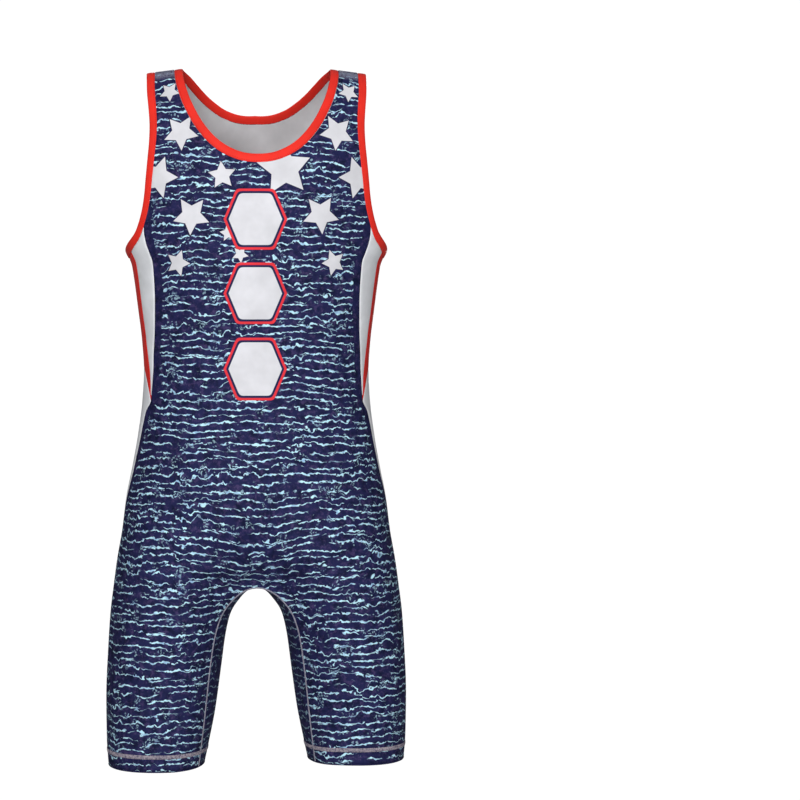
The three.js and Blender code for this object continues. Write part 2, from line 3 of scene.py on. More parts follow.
import bpy
import numpy as np
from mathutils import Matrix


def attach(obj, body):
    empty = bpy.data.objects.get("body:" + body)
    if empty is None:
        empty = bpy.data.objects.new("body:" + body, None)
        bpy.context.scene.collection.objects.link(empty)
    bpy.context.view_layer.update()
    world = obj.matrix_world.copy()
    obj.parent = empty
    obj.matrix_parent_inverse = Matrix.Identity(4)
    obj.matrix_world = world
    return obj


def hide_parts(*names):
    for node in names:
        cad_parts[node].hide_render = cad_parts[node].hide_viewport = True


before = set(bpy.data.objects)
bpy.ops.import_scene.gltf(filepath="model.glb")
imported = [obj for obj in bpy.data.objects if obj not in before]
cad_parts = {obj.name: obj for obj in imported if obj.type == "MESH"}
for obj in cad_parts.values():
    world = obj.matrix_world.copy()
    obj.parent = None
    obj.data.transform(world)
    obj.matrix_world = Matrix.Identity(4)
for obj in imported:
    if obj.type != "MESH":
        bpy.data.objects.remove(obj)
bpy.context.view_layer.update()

millimetre = 0.001

# The form of the cloth, with the same values as the solids
form = {
    "crotch": -626.5, "hem": -840.0, "clothHalf": 0.7, "seamGap": 0.3,
    "shoulderSlope": 0.13, "shoulderLevel": 95.0, "yoke": -140.0,
    "hemTilt": 4.0, "legLevel": 100.0, "tiltAbove": 60.0,
    "shoulderRound": {"front": (150.0, 1.8), "back": (130.0, 1.85)},
    "torsoRoundness": 0.6, "lobeRoundness": 0.45, "outerPoints": 96, "innerPoints": 48,
    "columnUnits": 7.0, "outerUnits": 4.0, "evenAbove": 500.0, "leggedBelow": 614.0,
    "archSag": (2.5, 60.0), "rowStep": 3.6,
}


def smoothStep(value, low, high):
    t = np.clip((value - low) / (high - low), 0.0, 1.0)
    return t * t * (3 - 2 * t)


def blend(a, b, t):
    return a + (b - a) * t


# A column of a table as one curve that never overshoots its rows
def smoothColumn(keys, values, keyOf):
    spans = np.diff(keys)
    steps = np.diff(values) / spans
    slopes = np.zeros(len(keys))
    slopes[0] = steps[0]
    slopes[-1] = steps[-1]
    for i in range(1, len(steps)):
        if steps[i - 1] * steps[i] > 0:
            slopes[i] = 2 * steps[i - 1] * steps[i] / (steps[i - 1] + steps[i])

    def read(where):
        key = np.clip(keyOf(where), keys[0], keys[-1])
        i = np.clip(np.searchsorted(keys, key, side="right") - 1, 0, len(spans) - 1)
        t = (key - keys[i]) / spans[i]
        start = (2 * t**3 - 3 * t**2 + 1) * values[i] + (t**3 - 2 * t**2 + t) * spans[i] * slopes[i]
        end = (3 * t**2 - 2 * t**3) * values[i + 1] + (t**3 - t**2) * spans[i] * slopes[i + 1]
        return start + end

    return read


def smoothTable(names, rows, keyOf=lambda value: value):
    data = np.array(rows, dtype=float)
    keys = keyOf(data[:, 0])
    order = np.argsort(keys)
    return {
        name: smoothColumn(keys[order], data[order, index + 1], keyOf)
        for index, name in enumerate(names)
    }


body = smoothTable(
    ["halfWidth", "frontY", "backY", "sideY", "frontLobe", "backLobe", "frontCentre", "backCentre"],
    [
        [0, 165, -95, 92, 0, 0, 0, -95, 92],
        [-100, 165, -96, 98, 2, 0, 0, -96, 98],
        [-160, 165, -102, 104, 4, 0, 0, -102, 104],
        [-200, 164, -105, 104, 5, 0, 0, -105, 104],
        [-214, 161.5, -105, 103, 5, 0, 0, -105, 103],
        [-225, 156.5, -105, 102, 5, 0, 0, -105, 102],
        [-236, 151.5, -104, 101, 5, 0, 0, -104, 101],
        [-251, 148.8, -103, 99, 4, 0, 0, -103, 99],
        [-290, 143.5, -99, 91, 3, 0, 0, -99, 91],
        [-330, 138.5, -95, 85, 1, 0, 0, -95, 85],
        [-366, 136.2, -92, 82, 0, 0, 0, -92, 82],
        [-400, 138, -92, 86, 2, 0, 0, -92, 86],
        [-440, 143, -94, 95, 5, 0, 12, -94, 95],
        [-480, 150, -97, 107, 8, 6, 32, -97, 105],
        [-520, 158, -99, 115, 10, 24, 52, -97, 110],
        [-560, 163, -99, 118, 10, 50, 68, -89, 106],
        [-595, 169, -97, 116, 9, 76, 84, -75, 92],
        [-626.5, 173.2, -94, 109, 7, 94, 96, -50, 62],
        [-660, 177.2, -91, 101, 6, 105, 106, -50, 62],
        [-700, 179.8, -86, 94, 5, 111, 111, -50, 62],
        [-760, 182.2, -78, 85, 4, 116, 115, -50, 62],
        [-810, 181.5, -71, 78, 4, 120, 119, -50, 62],
        [-840, 179.5, -68, 75, 4, 121.5, 121, -50, 62],
    ],
)

arch = smoothTable(
    ["frontX", "gapX", "backX", "frontY", "backY", "turn"],
    [
        [0, 0, 0, 0, -50, 62, 0],
        [2, 11, 7.5, 10, -50, 63, 10],
        [6, 19, 13, 17.5, -50.5, 63.5, 20],
        [14, 29, 20, 27, -51, 64, 33],
        [33, 43, 31.5, 41, -51, 64, 48],
        [60, 51.5, 38, 48.5, -49, 62, 57],
        [100, 57.5, 43.5, 54, -45, 58, 62],
        [150, 63, 50.5, 59.5, -40, 52, 65],
        [200, 69, 60.5, 66.5, -36, 47, 68],
        [214, 71, 63.5, 69, -35, 46, 68],
    ],
    np.sqrt,
)

# How far round from the side line the side panel and its red wedge reach
sidePanel = smoothTable(
    ["front", "back"],
    [
        [-130, 74, 57], [-195, 74.5, 54], [-213, 74.5, 53], [-232, 72.5, 53], [-258, 69, 54], [-282, 64.5, 54],
        [-306, 58, 53], [-330, 51, 52], [-354, 44.5, 51], [-381, 42, 50], [-403, 42, 47],
        [-416, 31.5, 37], [-434, 27, 35], [-468, 23.5, 37], [-503, 20, 36], [-525, 13, 28],
        [-540, 6.5, 16], [-553, 0, 0],
    ],
)
wedge = smoothTable(
    ["front", "back"],
    [
        [-200, 35, 16], [-232, 34, 20], [-257, 32.5, 26], [-281, 31.3, 29], [-305, 30.3, 31],
        [-330, 29.8, 35], [-354, 31.4, 40], [-378, 36.5, 45], [-403, 42, 47],
    ],
)
wedgeArch = {"top": -362.0, "drop": 41.0, "middle": -2.5, "half": 44.5}
stripEnd = -396.0
leafEnd = -547.0

neckEdge = {
    "front": [
        (89.7, 0), (88.7, -12), (85.6, -26), (81.4, -40), (76.3, -52.5), (70.5, -64.5), (63.5, -76),
        (55, -87), (44.5, -97), (32, -105), (16.5, -110.8), (0, -112.5),
    ],
    "back": [
        (89.7, 0), (80.5, -7), (71, -17), (61, -27.5), (50, -37), (36.5, -46), (19, -52.5), (0, -54.5),
    ],
}
armholeEdge = smoothTable(
    ["front", "back"],
    [
        [0, 133.6, 133.6], [-28, 132.4, 129.5], [-53, 130, 122.8], [-72, 128.8, 118],
        [-92, 129.3, 115.2], [-113, 131, 114.6], [-137, 133.1, 116.6], [-156, 134.7, 120],
        [-174, 137.4, 126.5], [-190, 141.6, 135], [-203, 147.2, 145],
    ],
)
underarm = -220.0

# Soft troughs of the worn cloth, listed one by one: face, two ends as x and z, width and depth.
# The side of the body with the higher leg has its own, so that no two are alike.
creases = [
    ("front", (14, -600), (78, -556), 11, 3.0),
    ("front", (30, -622), (116, -590), 12, 3.2),
    ("front", (8, -582), (36, -530), 10, 2.2),
    ("front", (-12, -602), (-72, -562), 10, 2.8),
    ("front", (-34, -624), (-120, -598), 13, 3.1),
    ("front", (-6, -586), (-30, -536), 9, 2.0),
    ("front", (0, -612), (2, -560), 12, 3.2),
    ("front", (58, -640), (128, -628), 9, 1.0),
    ("front", (-60, -646), (-134, -630), 10, 1.1),
    ("front", (120, -236), (92, -252), 7, 1.1),
    ("front", (-122, -238), (-88, -260), 8, 1.2),
    ("front", (110, -352), (70, -358), 8, 0.8),
    ("front", (-112, -366), (-64, -374), 9, 0.9),
    ("front", (84, -404), (118, -396), 8, 0.7),
    ("back", (14, -606), (66, -572), 12, 2.2),
    ("back", (-12, -604), (-62, -566), 11, 2.0),
    ("back", (0, -596), (0, -478), 10, 2.4),
    ("back", (40, -628), (118, -606), 12, 1.9),
    ("back", (-42, -626), (-124, -610), 13, 2.1),
    ("back", (98, -352), (36, -346), 9, 1.0),
    ("back", (-104, -372), (-30, -362), 10, 1.2),
    ("back", (92, -392), (48, -386), 8, 0.8),
    ("back", (112, -150), (86, -172), 8, 1.1),
    ("back", (-113, -156), (-84, -182), 8, 1.2),
    ("back", (60, -664), (136, -650), 10, 1.2),
    ("back", (-62, -668), (-138, -656), 10, 1.1),
]


def creaseDepth(face, x, z):
    depth = np.zeros(np.broadcast(x, z).shape)
    for side, (x0, z0), (x1, z1), width, deep in creases:
        if side != face:
            continue
        dx = x1 - x0
        dz = z1 - z0
        t = np.clip(((x - x0) * dx + (z - z0) * dz) / (dx * dx + dz * dz), 0.0, 1.0)
        away = np.hypot(x - x0 - t * dx, z - z0 - t * dz)
        depth += deep * np.sin(np.pi * (0.15 + 0.7 * t)) * np.exp(-((away / width) ** 2))
    return depth


sectionStore = {}


def bezier(p0, p1, p2, p3, count):
    t = np.linspace(0, 1, count + 1)[:, None]
    return (1 - t) ** 3 * p0 + 3 * (1 - t) ** 2 * t * p1 + 3 * (1 - t) * t**2 * p2 + t**3 * p3


# One half section at a height, from the side line to the middle or to the leg seam
def sectionAt(face, z):
    key = (face, round(float(z), 4))
    if key in sectionStore:
        return sectionStore[key]
    height, power = form["shoulderRound"][face]
    up = max(0.0, 1 + min(z, 0.0) / height)
    rise = (1 - up**power) ** (1 / power)
    sign = -1 if face == "front" else 1
    side = np.array([body["halfWidth"](z), body["sideY"](z) * rise])
    lobe = np.array([body[face + "Lobe"](z), body[face + "Y"](z) * rise])
    inner = np.array([0.0, body[face + "Centre"](z) * rise])
    drop = form["crotch"] - z
    turn = 0.0
    if drop > 0:
        inner = np.array([arch[face + "X"](drop), arch[face + "Y"](drop)])
        turn = math.radians(arch["turn"](drop))
    reach = (lobe[0] - inner[0]) * form["lobeRoundness"]
    straight = np.linalg.norm(lobe - inner)
    roundness = form["torsoRoundness"]
    points = bezier(
        side,
        np.array([side[0], blend(side[1], lobe[1], roundness)]),
        np.array([blend(lobe[0], side[0], roundness), lobe[1]]),
        lobe,
        form["outerPoints"],
    )
    if straight > 0.01:
        handle = straight * form["lobeRoundness"]
        inward = bezier(
            lobe,
            np.array([lobe[0] - reach, lobe[1]]),
            np.array([inner[0] + handle * math.cos(turn), inner[1] + sign * handle * math.sin(turn)]),
            inner,
            form["innerPoints"],
        )
        points = np.vstack([points, inward[1:]])
    lengths = np.linalg.norm(np.diff(points, axis=0), axis=1)
    travelled = np.concatenate([[0.0], np.cumsum(lengths)])
    section = {
        "points": points,
        "travelled": travelled,
        "length": travelled[-1],
        "toLobe": travelled[form["outerPoints"]],
    }
    sectionStore[key] = section
    return section


def alongSection(section, rounds):
    travelled = section["travelled"]
    i = np.clip(np.searchsorted(travelled, rounds) - 1, 0, len(travelled) - 2)
    t = (rounds - travelled[i]) / np.maximum(travelled[i + 1] - travelled[i], 1e-9)
    points = section["points"]
    return points[i] * (1 - t)[:, None] + points[i + 1] * t[:, None]


def roundAtX(face, x, z):
    section = sectionAt(face, z)
    points = section["points"]
    passed = np.nonzero(points[1:, 0] <= x)[0]
    i = passed[0] if len(passed) else len(points) - 2
    t = (x - points[i, 0]) / min(points[i + 1, 0] - points[i, 0], -1e-9)
    return blend(section["travelled"][i], section["travelled"][i + 1], min(max(t, 0.0), 1.0))


def columnAt(section, z, units):
    whole = form["columnUnits"]
    outer = form["outerUnits"]
    even = section["length"] * units / whole
    inside = section["length"] - section["toLobe"]
    onLeg = np.where(
        units <= outer,
        section["toLobe"] * units / outer,
        section["toLobe"] + inside * (units - outer) / (whole - outer),
    )
    return blend(even, onLeg, smoothStep(-z, form["evenAbove"], form["leggedBelow"]))


# Middle of the cloth and its outward direction, at distances round from the side line
def clothAt(face, rounds, z):
    rounds = np.atleast_1d(np.asarray(rounds, dtype=float))
    sign = 1 if face == "front" else -1
    step = 0.6

    def at(shift, height):
        flat = alongSection(sectionAt(face, height), rounds + shift)
        return np.column_stack([flat, np.full(len(rounds), float(height))])

    around = at(step, z) - at(-step, z)
    down = at(0, z - step) - at(0, z + step)
    if z > -step:
        down = np.tile([0.0, -float(sign), 0.0], (len(rounds), 1))
    normal = np.cross(around, down) * sign
    normal /= np.linalg.norm(normal, axis=1)[:, None]
    return at(0, z), normal


def clothAtX(face, x, z):
    points, normals = clothAt(face, roundAtX(face, x, z), z)
    return points[0], normals[0]


def clothNear(point):
    z = min(point[2], 0.0)
    face = "front" if point[1] < body["sideY"](z) else "back"
    section = sectionAt(face, z)
    a = section["points"][:-1]
    ab = section["points"][1:] - a
    ap = point[:2] - a
    t = np.clip(np.sum(ap * ab, axis=1) / np.maximum(np.sum(ab * ab, axis=1), 1e-9), 0, 1)
    away = np.linalg.norm(ap - ab * t[:, None], axis=1)
    i = int(np.argmin(away))
    distance = blend(section["travelled"][i], section["travelled"][i + 1], t[i])
    points, normals = clothAt(face, distance, z)
    return face, distance, points[0], normals[0]


# The shoulders fall outwards and one leg hangs a little lower
def settle(points):
    settled = points.copy()
    nearShoulder = smoothStep(points[:, 2], form["yoke"], 0.0)
    legPart = smoothStep(-points[:, 2], -form["crotch"] - form["tiltAbove"], -form["hem"])
    settled[:, 2] += form["shoulderSlope"] * (form["shoulderLevel"] - np.abs(points[:, 0])) * nearShoulder
    settled[:, 2] += form["hemTilt"] * np.clip(points[:, 0] / form["legLevel"], -1, 1) * legPart
    return settled


# Building meshes
def meshObject(name, vertices, faces, smooth, materialNumbers, lay=None, rim=None, materials=()):
    mesh = bpy.data.meshes.new(name)
    mesh.from_pydata((settle(vertices) * millimetre).tolist(), [], faces)
    mesh.polygons.foreach_set("use_smooth", smooth)
    mesh.polygons.foreach_set("material_index", materialNumbers)
    corners = np.zeros(len(mesh.loops), dtype=np.int32)
    mesh.loops.foreach_get("vertex_index", corners)
    if lay is not None:
        layer = mesh.uv_layers.new(name="lay")
        layer.uv.foreach_set("vector", (lay[corners] * millimetre).ravel().astype(np.float32))
    if rim is not None:
        layer = mesh.attributes.new("rim", "FLOAT", "POINT")
        layer.data.foreach_set("value", (rim * millimetre).astype(np.float32))
    for material in materials:
        mesh.materials.append(material)
    mesh.update()
    piece = bpy.data.objects.new(name, mesh)
    bpy.context.scene.collection.objects.link(piece)
    return piece


# A patch is a grid of cloth places. Its rows run down and its columns run round.
def patchOf(points, normals, lay, rim=None, toSeam=None, turned=False, closed=False):
    points = np.asarray(points, dtype=float)
    if rim is None:
        rim = np.full(points.shape[:2], 50.0)
    return {
        "toSeam": np.asarray(rim if toSeam is None else toSeam, dtype=float),
        "points": points,
        "normals": np.asarray(normals, dtype=float),
        "lay": np.asarray(lay, dtype=float),
        "rim": np.asarray(rim, dtype=float),
        "turned": turned,
        "closed": closed,
    }


def mirroredPatch(patch):
    flip = np.array([-1.0, 1.0, 1.0])
    other = dict(patch)
    other["points"] = patch["points"] * flip
    other["normals"] = patch["normals"] * flip
    other["lay"] = patch["lay"] * np.array([-1.0, 1.0])
    other["turned"] = not patch["turned"]
    return other


# Joins patches, presses the creases in and gives the cloth its two skins and its cut edges
def clothShell(name, patches, materials, face=None, outward=None, inward=None):
    outward = form["clothHalf"] if outward is None else outward
    inward = form["clothHalf"] if inward is None else inward
    points = np.vstack([patch["points"].reshape(-1, 3) for patch in patches])
    normals = np.vstack([patch["normals"].reshape(-1, 3) for patch in patches])
    lay = np.vstack([patch["lay"].reshape(-1, 2) for patch in patches])
    rim = np.concatenate([patch["rim"].ravel() for patch in patches])
    toSeam = np.concatenate([patch["toSeam"].ravel() for patch in patches])
    keys = np.round(points * 500).astype(np.int64)
    _, first, place = np.unique(keys, axis=0, return_index=True, return_inverse=True)
    place = place.ravel()
    count = len(first)
    joined = np.zeros((count, 3))
    np.add.at(joined, place, normals)
    joined /= np.maximum(np.linalg.norm(joined, axis=1), 1e-9)[:, None]
    points = points[first]
    lay = lay[first]
    rim = rim[first]
    toSeam = toSeam[first]
    quads = []
    start = 0
    for patch in patches:
        rows, columns = patch["points"].shape[:2]
        numbers = place[start:start + rows * columns].reshape(rows, columns)
        start += rows * columns
        if patch["closed"]:
            numbers = np.hstack([numbers, numbers[:, :1]])
        a = numbers[:-1, :-1].ravel()
        b = numbers[:-1, 1:].ravel()
        c = numbers[1:, 1:].ravel()
        d = numbers[1:, :-1].ravel()
        quads.append(np.column_stack([a, d, c, b] if patch["turned"] else [a, b, c, d]))
    skin = []
    for quad in np.vstack(quads).tolist():
        corners = [v for i, v in enumerate(quad) if v != quad[i - 1]]
        if len(corners) >= 3:
            skin.append(corners)
    edges = {}
    for corners in skin:
        for i, to in enumerate(corners):
            pair = (corners[i - 1], to)
            if (to, pair[0]) in edges:
                del edges[(to, pair[0])]
            else:
                edges[pair] = True
    pressed = creaseDepth(face, points[:, 0], points[:, 2]) if face else np.zeros(count)
    pressed = pressed + 0.55 * np.exp(-((toSeam / 1.3) ** 2))  # the cloth dips into its seams
    outer = points + joined * (outward - pressed)[:, None]
    inner = points - joined * (inward + pressed)[:, None]
    faces = skin + [[v + count for v in reversed(corners)] for corners in skin]
    faces += [[to, start, start + count, to + count] for start, to in edges]
    smooth = [True] * (2 * len(skin)) + [False] * len(edges)
    numbers = [0] * len(skin) + [1] * len(skin) + [0] * len(edges)
    return meshObject(
        name, np.vstack([outer, inner]), faces, smooth, numbers,
        np.vstack([lay, lay]), np.concatenate([rim, rim]), materials,
    )


# A closed band: at each station a closed profile, given as places on the cloth moved outwards
def bandShell(name, rings, lay, materials, materialNumbers=None, endless=True):
    rings = np.asarray(rings, dtype=float)
    stations, around = rings.shape[:2]
    faces = []
    numbers = []
    last = stations if endless else stations - 1
    for i in range(last):
        j = (i + 1) % stations
        for k in range(around):
            m = (k + 1) % around
            faces.append([i * around + k, i * around + m, j * around + m, j * around + k])
            numbers.append(materialNumbers[k] if materialNumbers else 0)
    if not endless:
        faces.append(list(range(around))[::-1])
        faces.append([(stations - 1) * around + k for k in range(around)])
        numbers += [0, 0]
    return meshObject(
        name, rings.reshape(-1, 3), faces, [True] * len(faces), numbers,
        np.asarray(lay, dtype=float).reshape(-1, 2), None, materials,
    )


def facesOutward(piece):
    bpy.ops.object.select_all(action="DESELECT")
    piece.select_set(True)
    bpy.context.view_layer.objects.active = piece
    bpy.ops.object.mode_set(mode="EDIT")
    bpy.ops.mesh.select_all(action="SELECT")
    bpy.ops.mesh.normals_make_consistent(inside=False)
    bpy.ops.object.mode_set(mode="OBJECT")
    piece.select_set(False)


# Lines that the pieces share
flatFrom = 0.3
flatFull = 0.6


# Places at several distances in from an edge, along its stations
def stripFrom(stations, distances):
    rows = []
    for distance in distances:
        row = []
        for i, station in enumerate(stations):
            tangent = station.get("tangent")
            if tangent is None:
                before = stations[max(i - 1, 0)]["point"]
                after = stations[min(i + 1, len(stations) - 1)]["point"]
                tangent = after - before
                tangent = tangent / np.linalg.norm(tangent)
            inward = np.cross(tangent, station["normal"])
            inward = inward / np.linalg.norm(inward)
            straight = station["point"] + inward * distance
            face, travelled, near, normal = clothNear(straight)
            steep = smoothStep(station["normal"][2], flatFrom, flatFull)
            mixed = blend(normal, station["normal"], steep)
            row.append({
                "point": blend(near, straight, steep),
                "normal": mixed / np.linalg.norm(mixed),
                "inward": inward,
                "face": face,
                "round": travelled,
            })
        rows.append(row)
    return rows


binding = {"width": 10.0, "neckStations": (66, 48), "armholeStations": 168}


def hermite(p0, p1, m0, m1, t):
    a = (2 * t**3 - 3 * t**2 + 1)[:, None] * p0 + (t**3 - 2 * t**2 + t)[:, None] * m0
    return a + (3 * t**2 - 2 * t**3)[:, None] * p1 + (t**3 - t**2)[:, None] * m1


def evenlySpaced(points, count):
    lengths = np.concatenate([[0.0], np.cumsum(np.linalg.norm(np.diff(points, axis=0), axis=1))])
    wanted = np.linspace(0, lengths[-1], count + 1)
    return np.column_stack([np.interp(wanted, lengths, points[:, i]) for i in range(points.shape[1])])


def neckStations(face, count):
    edge = np.array(neckEdge[face], dtype=float)
    whole = np.vstack([edge, edge[-2::-1] * [-1, 1]])
    t = np.linspace(0, 1, 40, endpoint=False)
    pieces = []
    for i in range(len(whole) - 1):
        before = whole[max(i - 1, 0)]
        after = whole[min(i + 2, len(whole) - 1)]
        slopes = ((whole[i + 1] - before) / 2, (after - whole[i]) / 2)
        pieces.append(hermite(whole[i], whole[i + 1], slopes[0], slopes[1], t))
    pieces.append(whole[-1:])
    places = evenlySpaced(np.vstack(pieces), 2 * count)[:count + 1]
    places[count, 0] = 0.0
    stations = []
    for x, z in places:
        point, normal = clothAtX(face, x, min(z, 0.0))
        stations.append({"point": point, "normal": normal})
    return stations


neckFront = neckStations("front", binding["neckStations"][0])[::-1]
neckBack = neckStations("back", binding["neckStations"][1])
neckFront[-1]["tangent"] = np.array([0.0, 1.0, 0.0])
neckFront[-1]["normal"] = np.array([0.0, 0.0, 1.0])
neckFront[0]["tangent"] = np.array([1.0, 0.0, 0.0])
neckBack[-1]["tangent"] = np.array([-1.0, 0.0, 0.0])
neckHalf = neckFront + neckBack[1:]
seamAt = binding["width"] + form["seamGap"]
neckSeam = [place["point"] for place in stripFrom(neckHalf, [seamAt])[0]]
neckSeamOf = {
    "front": neckSeam[:len(neckFront)][::-1],
    "back": neckSeam[len(neckFront) - 1:],
}


def armholeStations(count):
    heights = [0, -3, -10, -28, -53, -72, -92, -113, -137, -156, -174, -190, -203]
    knots = [clothAtX("front", armholeEdge["front"](z), z)[0] for z in heights]
    knots.append(clothAt("front", 0.0, underarm)[0][0])
    knots += [clothAtX("back", armholeEdge["back"](z), z)[0] for z in heights[:0:-1]]
    knots = np.array(knots)
    size = len(knots)
    t = np.linspace(0, 1, 60, endpoint=False)
    pieces = []
    for i in range(size):
        p0, p1, p2, p3 = (knots[(i + k) % size] for k in (-1, 0, 1, 2))
        d0, d1, d2 = (math.sqrt(np.linalg.norm(b - a)) for a, b in ((p0, p1), (p1, p2), (p2, p3)))
        m1 = ((p1 - p0) / d0 - (p2 - p0) / (d0 + d1) + (p2 - p1) / d1) * d1
        m2 = ((p2 - p1) / d1 - (p3 - p1) / (d1 + d2) + (p3 - p2) / d2) * d1
        pieces.append(hermite(p1, p2, m1, m2, t))
    pieces.append(knots[:1])
    loop = evenlySpaced(np.vstack(pieces), count)[:count]
    stations = []
    for i, point in enumerate(loop):
        tangent = loop[(i + 1) % count] - loop[i - 1]
        _, _, near, normal = clothNear(point)
        if i == 0:
            near = point
            normal = np.array([0.0, 0.0, 1.0])
            tangent = np.array([0.0, tangent[1], 0.0])
        else:
            near = blend(near, point, smoothStep(normal[2], flatFrom, flatFull))
        stations.append({"point": near, "normal": normal, "tangent": tangent / np.linalg.norm(tangent)})
    return stations


armhole = armholeStations(binding["armholeStations"])
armholeSeamPlaces = stripFrom(armhole, [seamAt])[0]
armholeSeam = np.array([place["point"] for place in armholeSeamPlaces])
low = [place for place in armholeSeamPlaces if place["point"][2] < form["yoke"]]
underarmSeam = sorted(
    (place["round"] if place["face"] == "front" else -place["round"], place["point"][2]) for place in low
)
underarmSeam = np.array(underarmSeam)


def underarmAt(signedRound):
    return float(np.interp(signedRound, underarmSeam[:, 0], underarmSeam[:, 1]))


halfWay = len(armholeSeam) // 2
armholeSeamOf = {
    "front": armholeSeam[:halfWay + 1],
    "back": np.vstack([armholeSeam[:1], armholeSeam[halfWay:][::-1]]),
}


def armholeSeamAt(face, z):
    line = armholeSeamOf[face]
    x = float(np.interp(-z, -line[:, 2], line[:, 0]))
    return roundAtX(face, x, z)


def panelTop(face):
    sign = 1 if face == "front" else -1
    z = -178.0
    while underarmAt(sign * sidePanel[face](z)) < z:
        z -= 0.1
    return z


def steps(top, bottom, step):
    count = max(1, int(round((top - bottom) / step)))
    return list(np.linspace(top, bottom, count + 1))


legDrops = [0, 0.5, 1.2, 2.2, 3.6, 5.4, 7.6, 10.2, 13.2, 16.6, 20.2, 23.8, 27.4, 31, 34.6]
legDrops += steps(-38.0, form["hem"] - form["crotch"], form["rowStep"])
legDrops = [abs(drop) for drop in legDrops]


# The gusset between the legs, by the drop below the crotch and the share from front to back
def gussetPoint(drop, across):
    bulge = (arch["frontX"](drop) + arch["backX"](drop)) / 2 - arch["gapX"](drop)
    curve = 4 * across * (1 - across)
    depth, fade = form["archSag"]
    sag = depth * (1 - smoothStep(drop, 0, fade))
    return np.array([
        blend(arch["frontX"](drop), arch["backX"](drop), across) - bulge * curve,
        blend(arch["frontY"](drop), arch["backY"](drop), across),
        form["crotch"] - drop - sag * curve,
    ])


def gussetAt(drop, across):
    step = 0.01
    near = max(drop, 0.05)
    down = gussetPoint(near * (1 + step), across) - gussetPoint(near * (1 - step), across)
    over = gussetPoint(drop, across + step) - gussetPoint(drop, across - step)
    normal = np.array([0.0, 0.0, -1.0])
    if drop > 0:
        normal = np.cross(over, down)
        normal = normal / np.linalg.norm(normal)
    return gussetPoint(drop, across), normal


def legSeamNormal(face, drop):
    z = form["crotch"] - drop
    outside = clothAt(face, sectionAt(face, z)["length"], z)[1][0]
    if drop == 0:
        outside[0] = 0.0
    mixed = outside + gussetAt(drop, 0.0 if face == "front" else 1.0)[1]
    return mixed / np.linalg.norm(mixed)


def legSeamShift(face, drop):
    if drop == 0:
        return np.array([0.0, 0.0, form["seamGap"] / 2])
    step = 0.01
    across = float(arch[face + "X"](drop + step) - arch[face + "X"](drop))
    shift = np.array([step, 0.0, across])
    return shift / np.linalg.norm(shift) * form["seamGap"] / 2


print("form ready")


# Front and back
# Columns stand closer together beside the seams
unitMarks = [0, 0.03, 0.07, 0.13] + [0.13 + (6.87 - 0.13) * i / 50 for i in range(1, 51)]
unitMarks += [6.93, 6.97, 7.0]
unitMarks = np.array(unitMarks)


# How far the printed lines are drawn down in the middle, above the crotch
def drawnDown(x, z):
    middle = np.exp(-((x / 46.0) ** 2))
    high = smoothStep(z, form["crotch"] - 4, -596.0) * smoothStep(-z, 470.0, 596.0)
    return 13.0 * middle * high


def bodyHalf(face):
    seam = neckSeamOf[face]
    top = panelTop(face)
    neckLow = seam[-1][2]
    heights = [point[2] for point in seam]
    heights += steps(neckLow, top, form["rowStep"])[1:]
    heights += steps(top, form["crotch"] + 4, form["rowStep"])[1:]
    points, normals, lay, rim, toSeam = [], [], [], [], []
    for i, height in enumerate(heights):
        z = 0.0 if i == 0 else height
        section = sectionAt(face, z)
        onPanel = z <= top
        start = sidePanel[face](z) + form["seamGap"] / 2 if onPanel else armholeSeamAt(face, z)
        end = roundAtX(face, seam[i][0], z) if i < len(seam) - 1 else section["length"]
        rounds = blend(start, end, columnAt(section, z, unitMarks) / section["length"])
        places, outwards = clothAt(face, rounds, z)
        if i >= len(seam) - 1:
            places[-1, 0] = 0.0
        if i == 0:
            places[:, 1] += (-1 if face == "front" else 1) * form["seamGap"] / 2
        points.append(places)
        normals.append(outwards)
        lay.append(np.column_stack([section["length"] - rounds, z + drawnDown(places[:, 0], z)]))
        lay[-1][-1, 0] = 0.0 if i >= len(seam) - 1 else lay[-1][-1, 0]
        apart = rounds - start
        free = smoothStep(z, top, top + 22.0) + smoothStep(-z, 552.0, 590.0)
        rim.append(apart + 50.0 * min(free, 1.0))
        toSeam.append(apart + 50.0 * (not onPanel))
    for drop in legDrops:
        z = form["crotch"] - drop
        section = sectionAt(face, z)
        rounds = np.maximum(columnAt(section, z, unitMarks), form["seamGap"] / 2)
        places, outwards = clothAt(face, rounds, z)
        places[-1] += legSeamShift(face, drop)
        outwards[-1] = legSeamNormal(face, drop)
        points.append(places)
        normals.append(outwards)
        inside = float(arch[face + "X"](drop)) if drop > 0 else 0.0
        lay.append(np.column_stack([inside + section["length"] - rounds, np.full(len(rounds), z)]))
        rim.append(rounds + 50.0)
        toSeam.append(np.minimum(rounds, section["length"] - rounds + 3.0 * (drop < 20)))
    return patchOf(points, normals, lay, rim, toSeam, turned=face == "back")


def sectionLayAt(face, x, z):
    side = 1 if x >= 0 else -1
    return side * (sectionAt(face, z)["length"] - roundAtX(face, abs(x), z))


# Materials
def socketOr(tree, value, socket):
    if isinstance(value, bpy.types.NodeSocket):
        tree.links.new(value, socket)
    elif value is not None:
        socket.default_value = value


def mathNode(tree, operation, *values, clamp=False):
    node = tree.nodes.new("ShaderNodeMath")
    node.operation = operation
    node.use_clamp = clamp
    for value, socket in zip(values, node.inputs):
        socketOr(tree, value, socket)
    return node.outputs[0]


def vectorNode(tree, operation, *values):
    node = tree.nodes.new("ShaderNodeVectorMath")
    node.operation = operation
    for value, socket in zip(values, node.inputs):
        socketOr(tree, value, socket)
    return node.outputs["Value" if operation in ("LENGTH", "DISTANCE", "DOT_PRODUCT") else "Vector"]


